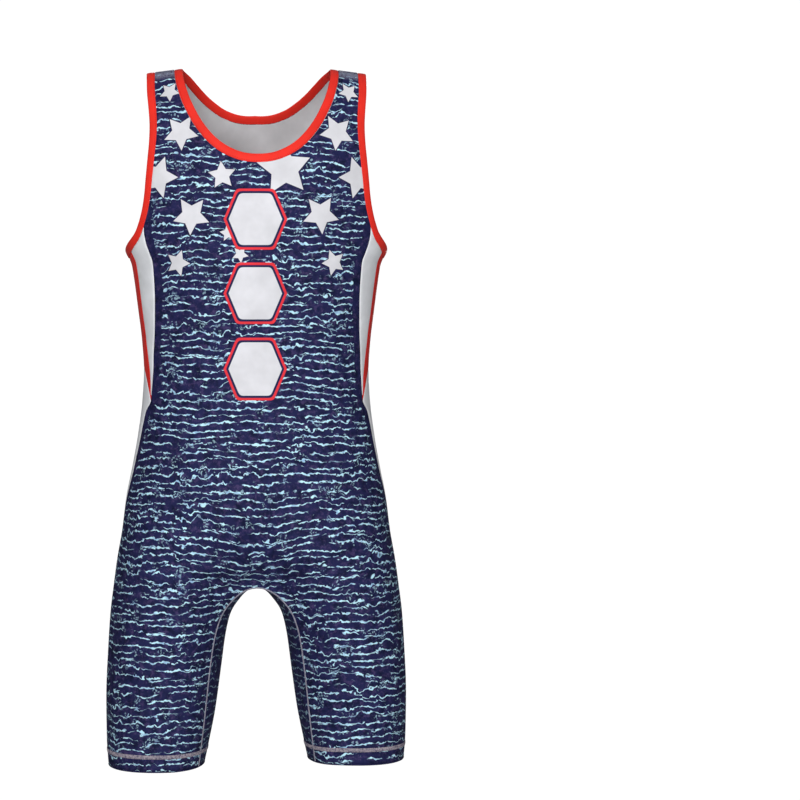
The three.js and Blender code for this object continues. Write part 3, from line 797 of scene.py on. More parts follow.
def rangeNode(tree, value, low, high, toLow=0.0, toHigh=1.0):
    node = tree.nodes.new("ShaderNodeMapRange")
    node.interpolation_type = "SMOOTHSTEP"
    for number, socket in zip((value, low, high, toLow, toHigh), node.inputs):
        socketOr(tree, number, socket)
    return node.outputs[0]


def mixColours(tree, amount, first, second):
    node = tree.nodes.new("ShaderNodeMix")
    node.data_type = "RGBA"
    socketOr(tree, amount, node.inputs["Factor"])
    socketOr(tree, first, node.inputs[6])
    socketOr(tree, second, node.inputs[7])
    return node.outputs[2]


def noiseNode(tree, place, scale, detail=2.0, roughness=0.5):
    node = tree.nodes.new("ShaderNodeTexNoise")
    node.inputs["Scale"].default_value = scale
    node.inputs["Detail"].default_value = detail
    node.inputs["Roughness"].default_value = roughness
    tree.links.new(place, node.inputs["Vector"])
    return node


def newGroup(name, inputs, outputs):
    group = bpy.data.node_groups.new(name, "ShaderNodeTree")
    kinds = {"vector": "NodeSocketVector", "value": "NodeSocketFloat", "colour": "NodeSocketColor"}
    for label, kind in inputs:
        group.interface.new_socket(name=label, in_out="INPUT", socket_type=kinds[kind])
    for label, kind in outputs:
        group.interface.new_socket(name=label, in_out="OUTPUT", socket_type=kinds[kind])
    return group, group.nodes.new("NodeGroupInput"), group.nodes.new("NodeGroupOutput")


def useGroup(tree, group, **values):
    node = tree.nodes.new("ShaderNodeGroup")
    node.node_tree = group
    for label, value in values.items():
        socketOr(tree, value, node.inputs[label])
    return node


# Broken zigzag lines that lie across the cloth, with small specks between them
def makeCrackleGroup():
    tree, given, made = newGroup(
        "crackleLines",
        [("Place", "vector"), ("Spacing", "value"), ("Busy", "value")],
        [("Lines", "value"), ("Strength", "value")],
    )
    place = given.outputs["Place"]
    bent = place
    unrest = rangeNode(tree, noiseNode(tree, place, 17.0, 1.0).outputs["Fac"], 0.4, 0.64, 0.7, 1.5)
    for scale, detail, reach in (
        (16.0, 2.0, (0.026, 0.012, 0.0)), (52.0, 1.0, (0.014, 0.0098, 0.0)),
        (150.0, 1.0, (0.006, 0.0070, 0.0)), (380.0, 1.0, (0.001, 0.0014, 0.0)),
    ):
        noise = noiseNode(tree, place, scale, detail, 0.5)
        shift = vectorNode(tree, "SUBTRACT", noise.outputs["Color"], (0.5, 0.5, 0.5))
        shift = vectorNode(tree, "MULTIPLY", shift, reach)
        if scale in (52.0, 150.0):
            shift = vectorNode(tree, "MULTIPLY", shift, unrest)
        bent = vectorNode(tree, "ADD", bent, shift)
    patches = tree.nodes.new("ShaderNodeTexVoronoi")
    patches.voronoi_dimensions = "2D"
    patches.inputs["Scale"].default_value = 1.0
    patches.inputs["Randomness"].default_value = 0.9
    tree.links.new(vectorNode(tree, "MULTIPLY", bent, (21.0, 52.0, 1.0)), patches.inputs["Vector"])
    step = vectorNode(tree, "DOT_PRODUCT", patches.outputs["Color"], (1.0, 0.0, 0.0))
    apart = tree.nodes.new("ShaderNodeSeparateXYZ")
    tree.links.new(bent, apart.inputs[0])
    count = mathNode(tree, "DIVIDE", apart.outputs["Y"], given.outputs["Spacing"])
    count = mathNode(tree, "ADD", count, mathNode(tree, "MULTIPLY", step, 0.6))
    wave = mathNode(tree, "PINGPONG", count, 0.5)
    swell = noiseNode(tree, place, 190.0, 1.0).outputs["Fac"]
    width = rangeNode(tree, swell, 0.3, 0.68, 0.448, 0.345)
    line = rangeNode(tree, wave, width, mathNode(tree, "ADD", width, 0.05))
    gaps = noiseNode(tree, vectorNode(tree, "MULTIPLY", bent, (0.6, 1.5, 1.0)), 58.0, 1.0)
    line = mathNode(tree, "MULTIPLY", line, rangeNode(tree, gaps.outputs["Fac"], 0.36, 0.43))
    breaks = noiseNode(tree, vectorNode(tree, "MULTIPLY", place, (0.8, 1.0, 1.0)), 215.0, 0.0)
    line = mathNode(tree, "MULTIPLY", line, rangeNode(tree, breaks.outputs["Fac"], 0.28, 0.36))
    dots = tree.nodes.new("ShaderNodeTexVoronoi")
    dots.voronoi_dimensions = "2D"
    dots.inputs["Scale"].default_value = 270.0
    tree.links.new(bent, dots.inputs["Vector"])
    speck = rangeNode(tree, dots.outputs["Distance"], 0.36, 0.2)
    crowd = noiseNode(tree, place, 52.0, 2.0, 0.6)
    level = mathNode(tree, "SUBTRACT", 0.63, mathNode(tree, "MULTIPLY", given.outputs["Busy"], 0.12))
    high = mathNode(tree, "ADD", level, 0.07)
    speck = mathNode(tree, "MULTIPLY", speck, rangeNode(tree, crowd.outputs["Fac"], level, high))
    both = mathNode(tree, "MAXIMUM", line, mathNode(tree, "MULTIPLY", speck, 0.45), clamp=True)
    tree.links.new(both, made.inputs["Lines"])
    strength = rangeNode(tree, noiseNode(tree, place, 130.0, 1.0).outputs["Fac"], 0.3, 0.6, 0.4, 1.0)
    tree.links.new(strength, made.inputs["Strength"])
    return tree


# How far out a place lies from the middle of a plain five-pointed star: under 1 is inside it
def makeStarGroup(notch):
    tree, given, made = newGroup(
        "starReach",
        [("Place", "vector"), ("Middle", "vector"), ("Size", "value"), ("Turn", "value")],
        [("Reach", "value")],
    )
    fifth = math.pi / 5
    lean = math.atan2(1 - notch * math.cos(fifth), notch * math.sin(fifth))
    away = vectorNode(tree, "SUBTRACT", given.outputs["Place"], given.outputs["Middle"])
    apart = tree.nodes.new("ShaderNodeSeparateXYZ")
    tree.links.new(away, apart.inputs[0])
    angle = mathNode(tree, "ARCTAN2", apart.outputs["Y"], apart.outputs["X"])
    angle = mathNode(tree, "SUBTRACT", angle, given.outputs["Turn"])
    folded = mathNode(tree, "PINGPONG", angle, fifth)
    side = mathNode(tree, "COSINE", mathNode(tree, "SUBTRACT", folded, lean))
    reach = mathNode(tree, "MULTIPLY", vectorNode(tree, "LENGTH", away), side)
    size = mathNode(tree, "MULTIPLY", given.outputs["Size"], math.cos(lean))
    tree.links.new(mathNode(tree, "DIVIDE", reach, size), made.inputs["Reach"])
    return tree


# Distance in metres from the rim of a six-sided plate, negative inside it
def makePlateGroup():
    tree, given, made = newGroup(
        "plateReach",
        [("Place", "vector"), ("Middle", "vector"), ("Half Width", "value"), ("Half Height", "value")],
        [("Depth", "value")],
    )
    away = vectorNode(tree, "SUBTRACT", given.outputs["Place"], given.outputs["Middle"])
    apart = tree.nodes.new("ShaderNodeSeparateXYZ")
    tree.links.new(vectorNode(tree, "ABSOLUTE", away), apart.inputs[0])
    across = apart.outputs["X"]
    up = apart.outputs["Y"]
    slant = mathNode(tree, "ADD", mathNode(tree, "MULTIPLY", up, 0.42), across)
    slant = mathNode(tree, "SUBTRACT", slant, given.outputs["Half Width"])
    slant = mathNode(tree, "MULTIPLY", slant, 0.92)
    flat = mathNode(tree, "SUBTRACT", up, given.outputs["Half Height"])
    tree.links.new(mathNode(tree, "SMOOTH_MAX", slant, flat, 0.006), made.inputs["Depth"])
    return tree


# The fine ribs and loops of a stretch knit, as a height, and the slight unevenness of its tone
def makeKnitGroup():
    tree, given, made = newGroup(
        "knitGrain",
        [("Place", "vector"), ("Rib", "value")],
        [("Height", "value"), ("Tone", "value")],
    )
    place = given.outputs["Place"]
    apart = tree.nodes.new("ShaderNodeSeparateXYZ")
    tree.links.new(place, apart.inputs[0])
    turns = mathNode(tree, "DIVIDE", 2 * math.pi, given.outputs["Rib"])
    wale = mathNode(tree, "COSINE", mathNode(tree, "MULTIPLY", apart.outputs["X"], turns))
    loop = mathNode(tree, "MULTIPLY", mathNode(tree, "ABSOLUTE", wale), 1.6)
    course = mathNode(tree, "MULTIPLY", apart.outputs["Y"], mathNode(tree, "MULTIPLY", turns, 1.5))
    course = mathNode(tree, "COSINE", mathNode(tree, "ADD", course, loop))
    height = mathNode(tree, "ADD", mathNode(tree, "MULTIPLY", course, 0.3), mathNode(tree, "MULTIPLY", wale, 0.2))
    fuzz = noiseNode(tree, place, 1400.0, 1.0)
    height = mathNode(tree, "ADD", height, mathNode(tree, "MULTIPLY", fuzz.outputs["Fac"], 0.25))
    tree.links.new(height, made.inputs["Height"])
    cloud = noiseNode(tree, place, 24.0, 3.0, 0.6)
    tree.links.new(rangeNode(tree, cloud.outputs["Fac"], 0.25, 0.75, 0.9, 1.08), made.inputs["Tone"])
    return tree


printing = {
    "starNotch": 0.5,
    "navy": (0.016, 0.018, 0.078, 1),
    "navyDeep": (0.005, 0.008, 0.034, 1),
    "mauve": (0.074, 0.052, 0.150, 1),
    "line": (0.56, 0.87, 1.0, 1),
    "lineSoft": (0.12, 0.24, 0.52, 1),
    "worn": (0.22, 0.22, 0.31, 1),
    "star": (0.72, 0.72, 0.76, 1),
    "keyline": (0.018, 0.020, 0.078, 1),
    "outline": (0.78, 0.040, 0.055, 1),
    "spacing": 0.0088,
    "navyBorder": 0.0145,
    "shoulderFade": (-0.015, -0.006),
}
crackle = makeCrackleGroup()
starReach = makeStarGroup(printing["starNotch"])
plateReach = makePlateGroup()
knit = makeKnitGroup()


def newMaterial(name):
    material = bpy.data.materials.new(name)
    material.use_nodes = True
    tree = material.node_tree
    shader = tree.nodes["Principled BSDF"]
    return material, tree, shader


def finishCloth(tree, shader, place, colour, rib, bumpDistance, roughness, sheen, specular=0.2):
    grain = useGroup(tree, knit, Place=place, Rib=rib)
    toned = tree.nodes.new("ShaderNodeVectorMath")
    toned.operation = "SCALE"
    socketOr(tree, colour, toned.inputs[0])
    tree.links.new(grain.outputs["Tone"], toned.inputs["Scale"])
    tree.links.new(toned.outputs["Vector"], shader.inputs["Base Color"])
    bump = tree.nodes.new("ShaderNodeBump")
    bump.inputs["Strength"].default_value = 0.5
    bump.inputs["Distance"].default_value = bumpDistance
    tree.links.new(grain.outputs["Height"], bump.inputs["Height"])
    tree.links.new(bump.outputs["Normal"], shader.inputs["Normal"])
    shader.inputs["Roughness"].default_value = roughness
    shader.inputs["Specular IOR Level"].default_value = specular
    shader.inputs["Sheen Weight"].default_value = sheen
    shader.inputs["Sheen Roughness"].default_value = 0.4


def layPlace(tree):
    node = tree.nodes.new("ShaderNodeUVMap")
    node.uv_map = "lay"
    return node.outputs["UV"]


def plainCloth(name, colour, rib=0.0011, roughness=0.66, sheen=0.05):
    material, tree, shader = newMaterial(name)
    finishCloth(tree, shader, layPlace(tree), colour, rib, 0.0002, roughness, sheen)
    return material


# The printed knit: navy with crackle lines, then stars, then three plates down the front
def printedCloth(name, stars=(), plates=(), busy=0.0, plainBorder=True, shadeDimming=0.0, drift=0.0):
    material, tree, shader = newMaterial(name)
    place = layPlace(tree)
    cutFrom = vectorNode(tree, "ADD", place, (drift, drift * 0.37, 0.0))  # each panel lies elsewhere on the print
    lines = useGroup(tree, crackle, Place=cutFrom, Spacing=printing["spacing"], Busy=busy)
    mottle = noiseNode(tree, cutFrom, 75.0, 3.0, 0.65)
    ground = mixColours(
        tree, rangeNode(tree, mottle.outputs["Fac"], 0.3, 0.6), printing["navyDeep"], printing["navy"]
    )
    bloom = noiseNode(tree, cutFrom, 140.0, 4.0, 0.75)
    bloom = rangeNode(tree, bloom.outputs["Fac"], 0.48, 0.68, 0.0, 0.55 + 0.4 * busy)
    ground = mixColours(tree, bloom, ground, printing["mauve"])
    amount = lines.outputs["Lines"]
    if plainBorder:
        rim = tree.nodes.new("ShaderNodeAttribute")
        rim.attribute_name = "rim"
        ragged = mathNode(tree, "MULTIPLY", noiseNode(tree, place, 120.0, 1.0).outputs["Fac"], 0.004)
        edge = mathNode(tree, "ADD", rim.outputs["Fac"], ragged)
        border = rangeNode(tree, edge, printing["navyBorder"], printing["navyBorder"] + 0.0018)
        amount = mathNode(tree, "MULTIPLY", amount, border)
    tint = mixColours(tree, lines.outputs["Strength"], printing["lineSoft"], printing["line"])
    # The lines are drawn fainter by this share: painted shade for pieces that sit in shadow
    amount = mathNode(tree, "MULTIPLY", amount, 1.0 - shadeDimming)
    colour = mixColours(tree, amount, ground, tint)
    apart = tree.nodes.new("ShaderNodeSeparateXYZ")
    tree.links.new(place, apart.inputs[0])
    faded = rangeNode(tree, apart.outputs["Y"], *printing["shoulderFade"])
    speckled = rangeNode(tree, noiseNode(tree, place, 420.0, 2.0, 0.6).outputs["Fac"], 0.28, 0.52)
    faded = mathNode(tree, "MULTIPLY", faded, speckled)
    colour = mixColours(tree, faded, colour, printing["worn"])
    nearest = None
    for u, v, size, degrees in stars:
        star = useGroup(
            tree, starReach, Place=place, Middle=(u * millimetre, v * millimetre, 0.0),
            Size=size * millimetre, Turn=math.radians(degrees),
        )
        reach = star.outputs["Reach"]
        nearest = reach if nearest is None else mathNode(tree, "MINIMUM", nearest, reach)
    if nearest is not None:
        halo = rangeNode(tree, nearest, 1.16, 1.1)
        colour = mixColours(tree, halo, colour, ground)
        colour = mixColours(tree, rangeNode(tree, nearest, 1.012, 0.988), colour, printing["star"])
    depth = None
    for u, v, halfWidth, halfHeight in plates:
        plate = useGroup(tree, plateReach, Place=place, Middle=(u * millimetre, v * millimetre, 0.0))
        plate.inputs["Half Width"].default_value = halfWidth * millimetre
        plate.inputs["Half Height"].default_value = halfHeight * millimetre
        found = plate.outputs["Depth"]
        depth = found if depth is None else mathNode(tree, "MINIMUM", depth, found)
    if depth is not None:
        for inset, paint in ((0.0, "outline"), (-0.0029, "keyline"), (-0.0055, "star")):
            colour = mixColours(
                tree, rangeNode(tree, depth, inset + 0.0002, inset - 0.0002), colour, printing[paint]
            )
    finishCloth(tree, shader, place, colour, 0.0011, 0.0002, 0.72, 0.0, 0.1)
    return material


# Places of the stars on the front and the back: x, z, size and the turn of one point, in mm and degrees
frontStars = [
    (-104.8, -31.4, 12.9, -89), (-91, -84.3, 22.4, -88), (-117.5, -137.4, 26.2, -3), (-42.3, -137.4, 17, 95),
    (-78.6, -184.6, 23.4, -93), (-94.4, -240, 16.3, -3), (110, -30.6, 12.9, -92), (94.6, -83.8, 22.4, -96),
    (31.1, -129.6, 33.5, 96), (119, -137.4, 26.2, 182), (74.1, -183.2, 23.4, -86), (89.6, -239.3, 16, -103),
    (-35.5, -206, 10, 170), (-21, -231, 10, 60),
]
backStars = [
    (100.3, -32, 11.5, -88), (82.8, -87, 24, -8), (38.9, -144, 16, 98), (101.5, -148, 11, 0),
    (-31.7, -136, 35, 98), (-75.2, -85, 23.5, -99), (-93.7, -31, 12, -96), (-101.5, -148, 11, 180),
    (68.8, -195, 21.5, -95), (-0.7, -209, 34, 110), (84.5, -248, 14, -1), (-76.7, -194, 21, -11),
    (-95.6, -246, 13, -100),
]


def laidOut(face, marks):
    return [(sectionLayAt(face, x, z), z, size, turn) for x, z, size, turn in marks]


plates = [(-3.2, -189.5, 37.5, 36.0), (-3.2, -276.5, 37.5, 36.0), (-3.2, -365.5, 37.5, 37.0)]
frontPrint = printedCloth("frontPrint", laidOut("front", frontStars), plates, busy=0.55)
backPrint = printedCloth(
    "backPrint", [(u, v, s, 180 - t) for u, v, s, t in laidOut("back", backStars)], busy=0.7, drift=1.3
)
# Print for the gusset and the hem turn-ups, its lines drawn 55 % fainter: painted shade of the inner legs and
# hems
shadeDimmedPrint = printedCloth("shadeDimmedPrint", plainBorder=False, shadeDimming=0.55)
insideCloth = plainCloth("insideCloth", (0.66, 0.66, 0.68), roughness=0.8)
whiteCloth = plainCloth("whiteCloth", (0.86, 0.88, 0.92))
redCloth = plainCloth("redCloth", (0.78, 0.022, 0.016))
redBinding = plainCloth("redBinding", (0.86, 0.030, 0.018), rib=0.0014, roughness=0.6)
print("materials ready")


def placePiece(piece, node):
    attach(piece, "root")
    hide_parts(node)


def placeTrim(piece):
    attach(piece, "root")


frontHalf = bodyHalf("front")
backHalf = bodyHalf("back")
frontBody = clothShell("frontBody", [frontHalf, mirroredPatch(frontHalf)], [frontPrint, insideCloth], "front")
backBody = clothShell("backBody", [backHalf, mirroredPatch(backHalf)], [backPrint, insideCloth], "back")
print("front and back ready")

gussetShares = np.linspace(0, 1, 21)


def gussetHalf():
    points, normals, lay, rim = [], [], [], []
    for drop in legDrops:
        row = [gussetAt(drop, share) for share in gussetShares]
        places = np.array([place for place, _ in row])
        outwards = np.array([normal for _, normal in row])
        for face, end in (("front", 0), ("back", -1)):
            places[end] -= legSeamShift(face, drop)
            outwards[end] = legSeamNormal(face, drop)
        lengths = np.concatenate([[0], np.cumsum(np.linalg.norm(np.diff(places, axis=0), axis=1))])
        points.append(places)
        normals.append(outwards)
        lay.append(np.column_stack([lengths + 300.0, np.full(len(lengths), form["crotch"] - drop)]))
        rim.append(np.full(len(lengths), 50.0))
    return patchOf(points, normals, lay, rim)


gussetPatch = gussetHalf()
# The gusset's fainter lines are painted shade between the legs
gusset = clothShell("crotchGusset", [gussetPatch, mirroredPatch(gussetPatch)], [shadeDimmedPrint, insideCloth])

# Side panels: two white strips round a red wedge, over a white leaf at the hip
halfGap = form["seamGap"] / 2


def archAt(signedRound):
    share = (wedgeArch["middle"] - signedRound) / wedgeArch["half"]
    share = min(max(share, -1.05), 1.05)
    slope = 2 * wedgeArch["drop"] * share / wedgeArch["half"]
    return wedgeArch["top"] - wedgeArch["drop"] * share**2, math.hypot(1.0, slope)


def overArch(shift):
    def height(signedRound):
        z, slant = archAt(signedRound)
        return z + shift * slant
    return height


def underSeam(signedRound):
    return underarmAt(signedRound) - form["seamGap"]


sidePieces = [
    {
        "name": "FrontStrip", "node": "side_front_strip", "material": whiteCloth, "slot": "white_cloth",
        "front": lambda z: sidePanel["front"](z) - halfGap, "back": lambda z: wedge["front"](z) + halfGap,
        "top": underSeam, "bottom": lambda r: stripEnd, "across": 10, "down": 56, "start": -300.0,
    },
    {
        "name": "Wedge", "node": "side_wedge", "material": redCloth, "slot": "red_cloth",
        "front": lambda z: wedge["front"](z) - halfGap, "back": lambda z: halfGap - wedge["back"](z),
        "top": underSeam, "bottom": overArch(halfGap), "across": 18, "down": 50, "start": -300.0,
    },
    {
        "name": "BackStrip", "node": "side_back_strip", "material": whiteCloth, "slot": "white_cloth",
        "front": lambda z: -wedge["back"](z) - halfGap, "back": lambda z: halfGap - sidePanel["back"](z),
        "top": underSeam, "bottom": lambda r: stripEnd, "across": 10, "down": 56, "start": -300.0,
    },
    {
        "name": "HipLeaf", "node": "hip_leaf", "material": whiteCloth, "slot": "white_cloth",
        "front": lambda z: sidePanel["front"](z) - halfGap, "back": lambda z: halfGap - sidePanel["back"](z),
        "top": overArch(-halfGap), "bottom": lambda r: leafEnd, "across": 20, "down": 52, "start": -400.0,
    },
]


def meetingHeight(edge, front, back, share, z):
    for _ in range(40):
        z = blend(z, edge(blend(front(z), back(z), share)), 0.5)
    return z


def sidePatch(piece):
    front, back = piece["front"], piece["back"]
    width = front(piece["start"]) - back(piece["start"])
    near = [0.0, 0.8 / width, 1.8 / width, 3.2 / width]
    middle = list(np.linspace(3.2 / width, 1 - 3.2 / width, piece["across"]))
    shares = np.array(near + middle[1:-1] + [1 - share for share in near[::-1]])
    tops = [meetingHeight(piece["top"], front, back, share, piece["start"]) for share in shares]
    bottoms = [meetingHeight(piece["bottom"], front, back, share, piece["start"]) for share in shares]
    levels = [0.0, 0.006, 0.014, 0.025] + list(np.linspace(0.025, 0.975, piece["down"]))[1:-1]
    levels += [0.975, 0.986, 0.994, 1.0]
    points, normals, lay, rim = [], [], [], []
    for level in levels:
        row = []
        for share, top, bottom in zip(shares, tops, bottoms):
            z = blend(top, bottom, level)
            signedRound = float(blend(front(z), back(z), share))
            face = "front" if signedRound >= 0 else "back"
            place, outward = clothAt(face, abs(signedRound), z)
            wide = front(z) - back(z)
            edge = min(share * wide, (1 - share) * wide, top - z + 0.3, z - bottom + 0.3)
            row.append((place[0], outward[0], (signedRound, z), edge))
        points.append([item[0] for item in row])
        normals.append([item[1] for item in row])
        lay.append([item[2] for item in row])
        rim.append([item[3] for item in row])
    return patchOf(points, normals, lay, rim, turned=True)


for piece in sidePieces:
    patch = sidePatch(piece)
    for side in ("left", "right"):
        sided = patch if side == "left" else mirroredPatch(patch)
        made = clothShell(side + piece["name"], [sided], [piece["material"], insideCloth])
        placePiece(made, piece["node"] + "_" + side)
print("side panels ready")

# Bindings: folded bands, thinner where they are stitched down
bandProfile = [
    (0.0, 0.0), (0.22, 0.6), (0.7, 0.95), (1.6, 1.15), (3.4, 1.28), (5.4, 1.3), (7.2, 1.2),
    (7.9, 1.1), (8.4, 0.9), (8.9, 1.06), (9.5, 0.95), (10.0, 0.55),
]
stitch = {"long": 2.0, "apart": 2.9, "thick": 0.24, "across": 8.4}


def bandRings(stations):
    strips = stripFrom(stations, [across for across, _ in bandProfile])
    rings = []
    for i in range(len(stations)):
        outer = [strip[i]["point"] + strip[i]["normal"] * h for strip, (_, h) in zip(strips, bandProfile)]
        inner = [strip[i]["point"] - strip[i]["normal"] * h for strip, (_, h) in zip(strips, bandProfile)]
        rings.append(outer + inner[:0:-1])
    return np.array(rings)


def bandLay(rings):
    middles = rings.mean(axis=1)
    along = np.concatenate([[0], np.cumsum(np.linalg.norm(np.diff(middles, axis=0), axis=1))])
    across = [a for a, _ in bandProfile]
    across = np.array(across + across[:0:-1])
    return np.dstack(np.meshgrid(along, across, indexing="ij"))


# A row of small raised stitches, each a short rounded bar, along a closed or open line
def stitchRow(name, points, normals, material, closed=True):
    line = np.vstack([points, points[:1]]) if closed else np.asarray(points)
    outs = np.vstack([normals, normals[:1]]) if closed else np.asarray(normals)
    lengths = np.concatenate([[0], np.cumsum(np.linalg.norm(np.diff(line, axis=0), axis=1))])
    count = int(lengths[-1] / stitch["apart"])
    vertices, faces = [], []
    for number in range(count):
        start = (number + 0.15) * lengths[-1] / count
        marks = start + stitch["long"] * np.array([0.0, 0.12, 0.5, 0.88, 1.0])
        sizes = stitch["thick"] * np.array([0.3, 0.85, 1.0, 0.85, 0.3])
        spots = np.column_stack([np.interp(marks, lengths, line[:, k]) for k in range(3)])
        up = np.array([np.interp(marks[2], lengths, outs[:, k]) for k in range(3)])
        up = up / np.linalg.norm(up)
        along = spots[-1] - spots[0]
        side = np.cross(along, up)
        side = side / max(np.linalg.norm(side), 1e-9)
        first = len(vertices)
        for spot, size in zip(spots, sizes):
            for turn in range(6):
                angle = turn * math.pi / 3
                vertices.append(spot + (side * math.cos(angle) * 1.3 + up * math.sin(angle)) * size)
        for ring in range(4):
            for turn in range(6):
                a = first + ring * 6 + turn
                b = first + ring * 6 + (turn + 1) % 6
                faces.append([a, b, b + 6, a + 6])
        faces.append([first + k for k in range(5, -1, -1)])
        faces.append([first + 24 + k for k in range(6)])
    vertices = np.array(vertices)
    lay = vertices[:, [0, 2]]
    piece = meshObject(
        name, vertices, faces, [True] * len(faces), [0] * len(faces), lay, None, [material]
    )
    facesOutward(piece)
    return piece


def stitchLine(stations):
    strip = stripFrom(stations, [stitch["across"]])[0]
    points = np.array([place["point"] + place["normal"] * 0.95 for place in strip])
    return points, np.array([place["normal"] for place in strip])


flip = np.array([-1.0, 1.0, 1.0])
halfRings = bandRings(neckHalf)
neckRings = np.concatenate([halfRings, halfRings[-2:0:-1] * flip])
neckRings = np.roll(neckRings, len(neckHalf), axis=0)
neckBinding = bandShell("neckBinding", neckRings, bandLay(neckRings), [redBinding])
facesOutward(neckBinding)
points, normals = stitchLine(neckHalf)
points = np.concatenate([points, points[-2:0:-1] * flip])
normals = np.concatenate([normals, normals[-2:0:-1] * flip])
redThread = plainCloth("redThread", (0.62, 0.012, 0.010), rib=0.0006)
neckStitches = stitchRow("neckStitches", points, normals, redThread)
placeTrim(neckStitches)
placePiece(neckBinding, "neck_binding")
armRings = bandRings(armhole)
points, normals = stitchLine(armhole)
for side, mirror in (("left", 1.0), ("right", -1.0)):
    turn = np.array([mirror, 1.0, 1.0])
    rings = armRings * turn
    armholeBinding = bandShell(side + "ArmholeBinding", rings, bandLay(rings), [redBinding])
    facesOutward(armholeBinding)
    armholeStitches = stitchRow(side + "ArmholeStitches", points * turn, normals * turn, redThread)
    placeTrim(armholeStitches)
    placePiece(
        armholeBinding, "armhole_binding_" + side
    )
print("bindings ready")

# Seams: flat bands of thread over the leg seams, the hems and the shoulders
def threadCloth(name, pale, dark, roughness=0.75):
    material, tree, shader = newMaterial(name)
    place = layPlace(tree)
    worn = rangeNode(tree, noiseNode(tree, place, 430.0, 2.0, 0.6).outputs["Fac"], 0.36, 0.6)
    finishCloth(tree, shader, place, mixColours(tree, worn, dark, pale), 0.0008, 0.0002, roughness, 0.0)
    return material


seamThread = threadCloth("seamThread", (0.43, 0.42, 0.50, 1), (0.24, 0.23, 0.32, 1))
hemThread = threadCloth("hemThread", (0.44, 0.39, 0.43, 1), (0.11, 0.10, 0.17, 1))
shoulderThread = threadCloth("shoulderThread", (0.30, 0.32, 0.42, 1), (0.08, 0.08, 0.16, 1))
seams = {"legWidth": 2.6, "hemWidth": 5.0, "shoulderWidth": 4.0, "proud": 0.35, "pitch": 1.7, "thread": 0.26}


def seamBand(name, points, normals, width, material, closed):
    points = np.asarray(points)
    normals = np.asarray(normals)
    if closed:
        along = np.roll(points, -1, axis=0) - np.roll(points, 1, axis=0)
    else:
        along = np.gradient(points, axis=0)
    along /= np.linalg.norm(along, axis=1)[:, None]
    side = np.cross(along, normals)
    side /= np.linalg.norm(side, axis=1)[:, None]
    half = width / 2
    proud = seams["proud"]
    profile = [(-half, -0.1), (-half * 0.85, proud * 0.8), (0, proud), (half * 0.85, proud * 0.8), (half, -0.1)]
    profile.append((0, -0.25))
    rings = np.stack([points + side * a + normals * h for a, h in profile], axis=1)
    lengths = np.concatenate([[0], np.cumsum(np.linalg.norm(np.diff(points, axis=0), axis=1))])
    lay = np.dstack(np.meshgrid(lengths, [a for a, _ in profile], indexing="ij"))
    band = bandShell(name, rings, lay, [material], endless=closed)
    facesOutward(band)
    threads = []
    if closed:
        points, normals, side = (np.vstack([item, item[:1]]) for item in (points, normals, side))
        lengths = np.concatenate([[0], np.cumsum(np.linalg.norm(np.diff(points, axis=0), axis=1))])
    count = int(lengths[-1] / seams["pitch"])
    read = lambda items, marks: np.column_stack([np.interp(marks, lengths, items[:, k]) for k in range(3)])
    vertices, faces = [], []
    thick = seams["thread"]
    across = np.array([-1.0, -0.5, 0.0, 0.5, 1.0]) * half * 0.95
    for number in range(count):
        for lean in (0.9, -0.9):
            marks = (number + 0.5) * seams["pitch"] + lean * across / half * seams["pitch"] * 0.5
            spots = read(points, marks)
            ups = read(normals, marks)
            sides = read(side, marks)
            lift = np.array([0.35, 0.95, 1.1, 0.95, 0.35]) * proud
            middle = spots + sides * across[:, None] + ups * lift[:, None]
            first = len(vertices)
            run = np.gradient(middle, axis=0)
            beside = np.cross(run, ups)
            beside /= np.linalg.norm(beside, axis=1)[:, None]
            for k in range(5):
                for turn in range(4):
                    angle = turn * math.pi / 2
                    vertices.append(
                        middle[k] + (beside[k] * math.cos(angle) + ups[k] * math.sin(angle)) * thick
                    )
            for ring in range(4):
                for turn in range(4):
                    a = first + ring * 4 + turn
                    b = first + ring * 4 + (turn + 1) % 4
                    faces.append([a, b, b + 4, a + 4])
            faces.append([first + k for k in range(3, -1, -1)])
            faces.append([first + 16 + k for k in range(4)])
    vertices = np.array(vertices)
    stitches = meshObject(
        name + "Threads", vertices, faces, [True] * len(faces), [0] * len(faces),
        vertices[:, [0, 2]], None, [material],
    )
    facesOutward(stitches)
    return band, stitches


def legSeamLine(face):
    points, normals = [], []
    lift = form["clothHalf"]
    for drop in legDrops[::-1]:
        z = form["crotch"] - drop
        section = sectionAt(face, z)
        place, _ = clothAt(face, section["length"], z)
        normal = legSeamNormal(face, drop)
        points.append(place[0] + normal * lift)
        normals.append(normal)
    points = np.array(points)
    normals = np.array(normals)
    points[-1, 0] = 0.0
    return np.vstack([points, points[-2::-1] * flip]), np.vstack([normals, normals[-2::-1] * flip])


legTrims = []
for face in ("front", "back"):
    points, normals = legSeamLine(face)
    legTrims += seamBand(face + "LegSeam", points, normals, seams["legWidth"], seamThread, False)
for trim in legTrims:
    placeTrim(trim)


def hemRing(z):
    front = sectionAt("front", z)
    back = sectionAt("back", z)
    points, normals = clothAt("front", columnAt(front, z, unitMarks), z)
    across = [gussetAt(form["crotch"] - z, share) for share in gussetShares[1:-1]]
    behind, outwards = clothAt("back", columnAt(back, z, unitMarks), z)
    points = np.vstack([points, [place for place, _ in across], behind[:0:-1]])
    normals = np.vstack([normals, [normal for _, normal in across], outwards[:0:-1]])
    return points, normals


hemDepth = 18.0
hemProfile = [
    (-1.05, 18.0), (-1.05, 12.0), (-1.05, 6.0), (-1.05, 0.7), (-0.7, 0.0), (0.25, -0.15), (0.72, -0.2),
    (0.86, -0.8), (0.5, -1.45), (-0.3, -1.85), (-1.1, -1.8), (-1.8, -1.3), (-2.2, -0.5), (-2.2, 3.0),
    (-2.2, 9.0), (-2.2, 15.0), (-2.15, 17.6), (-1.65, 18.2),
]


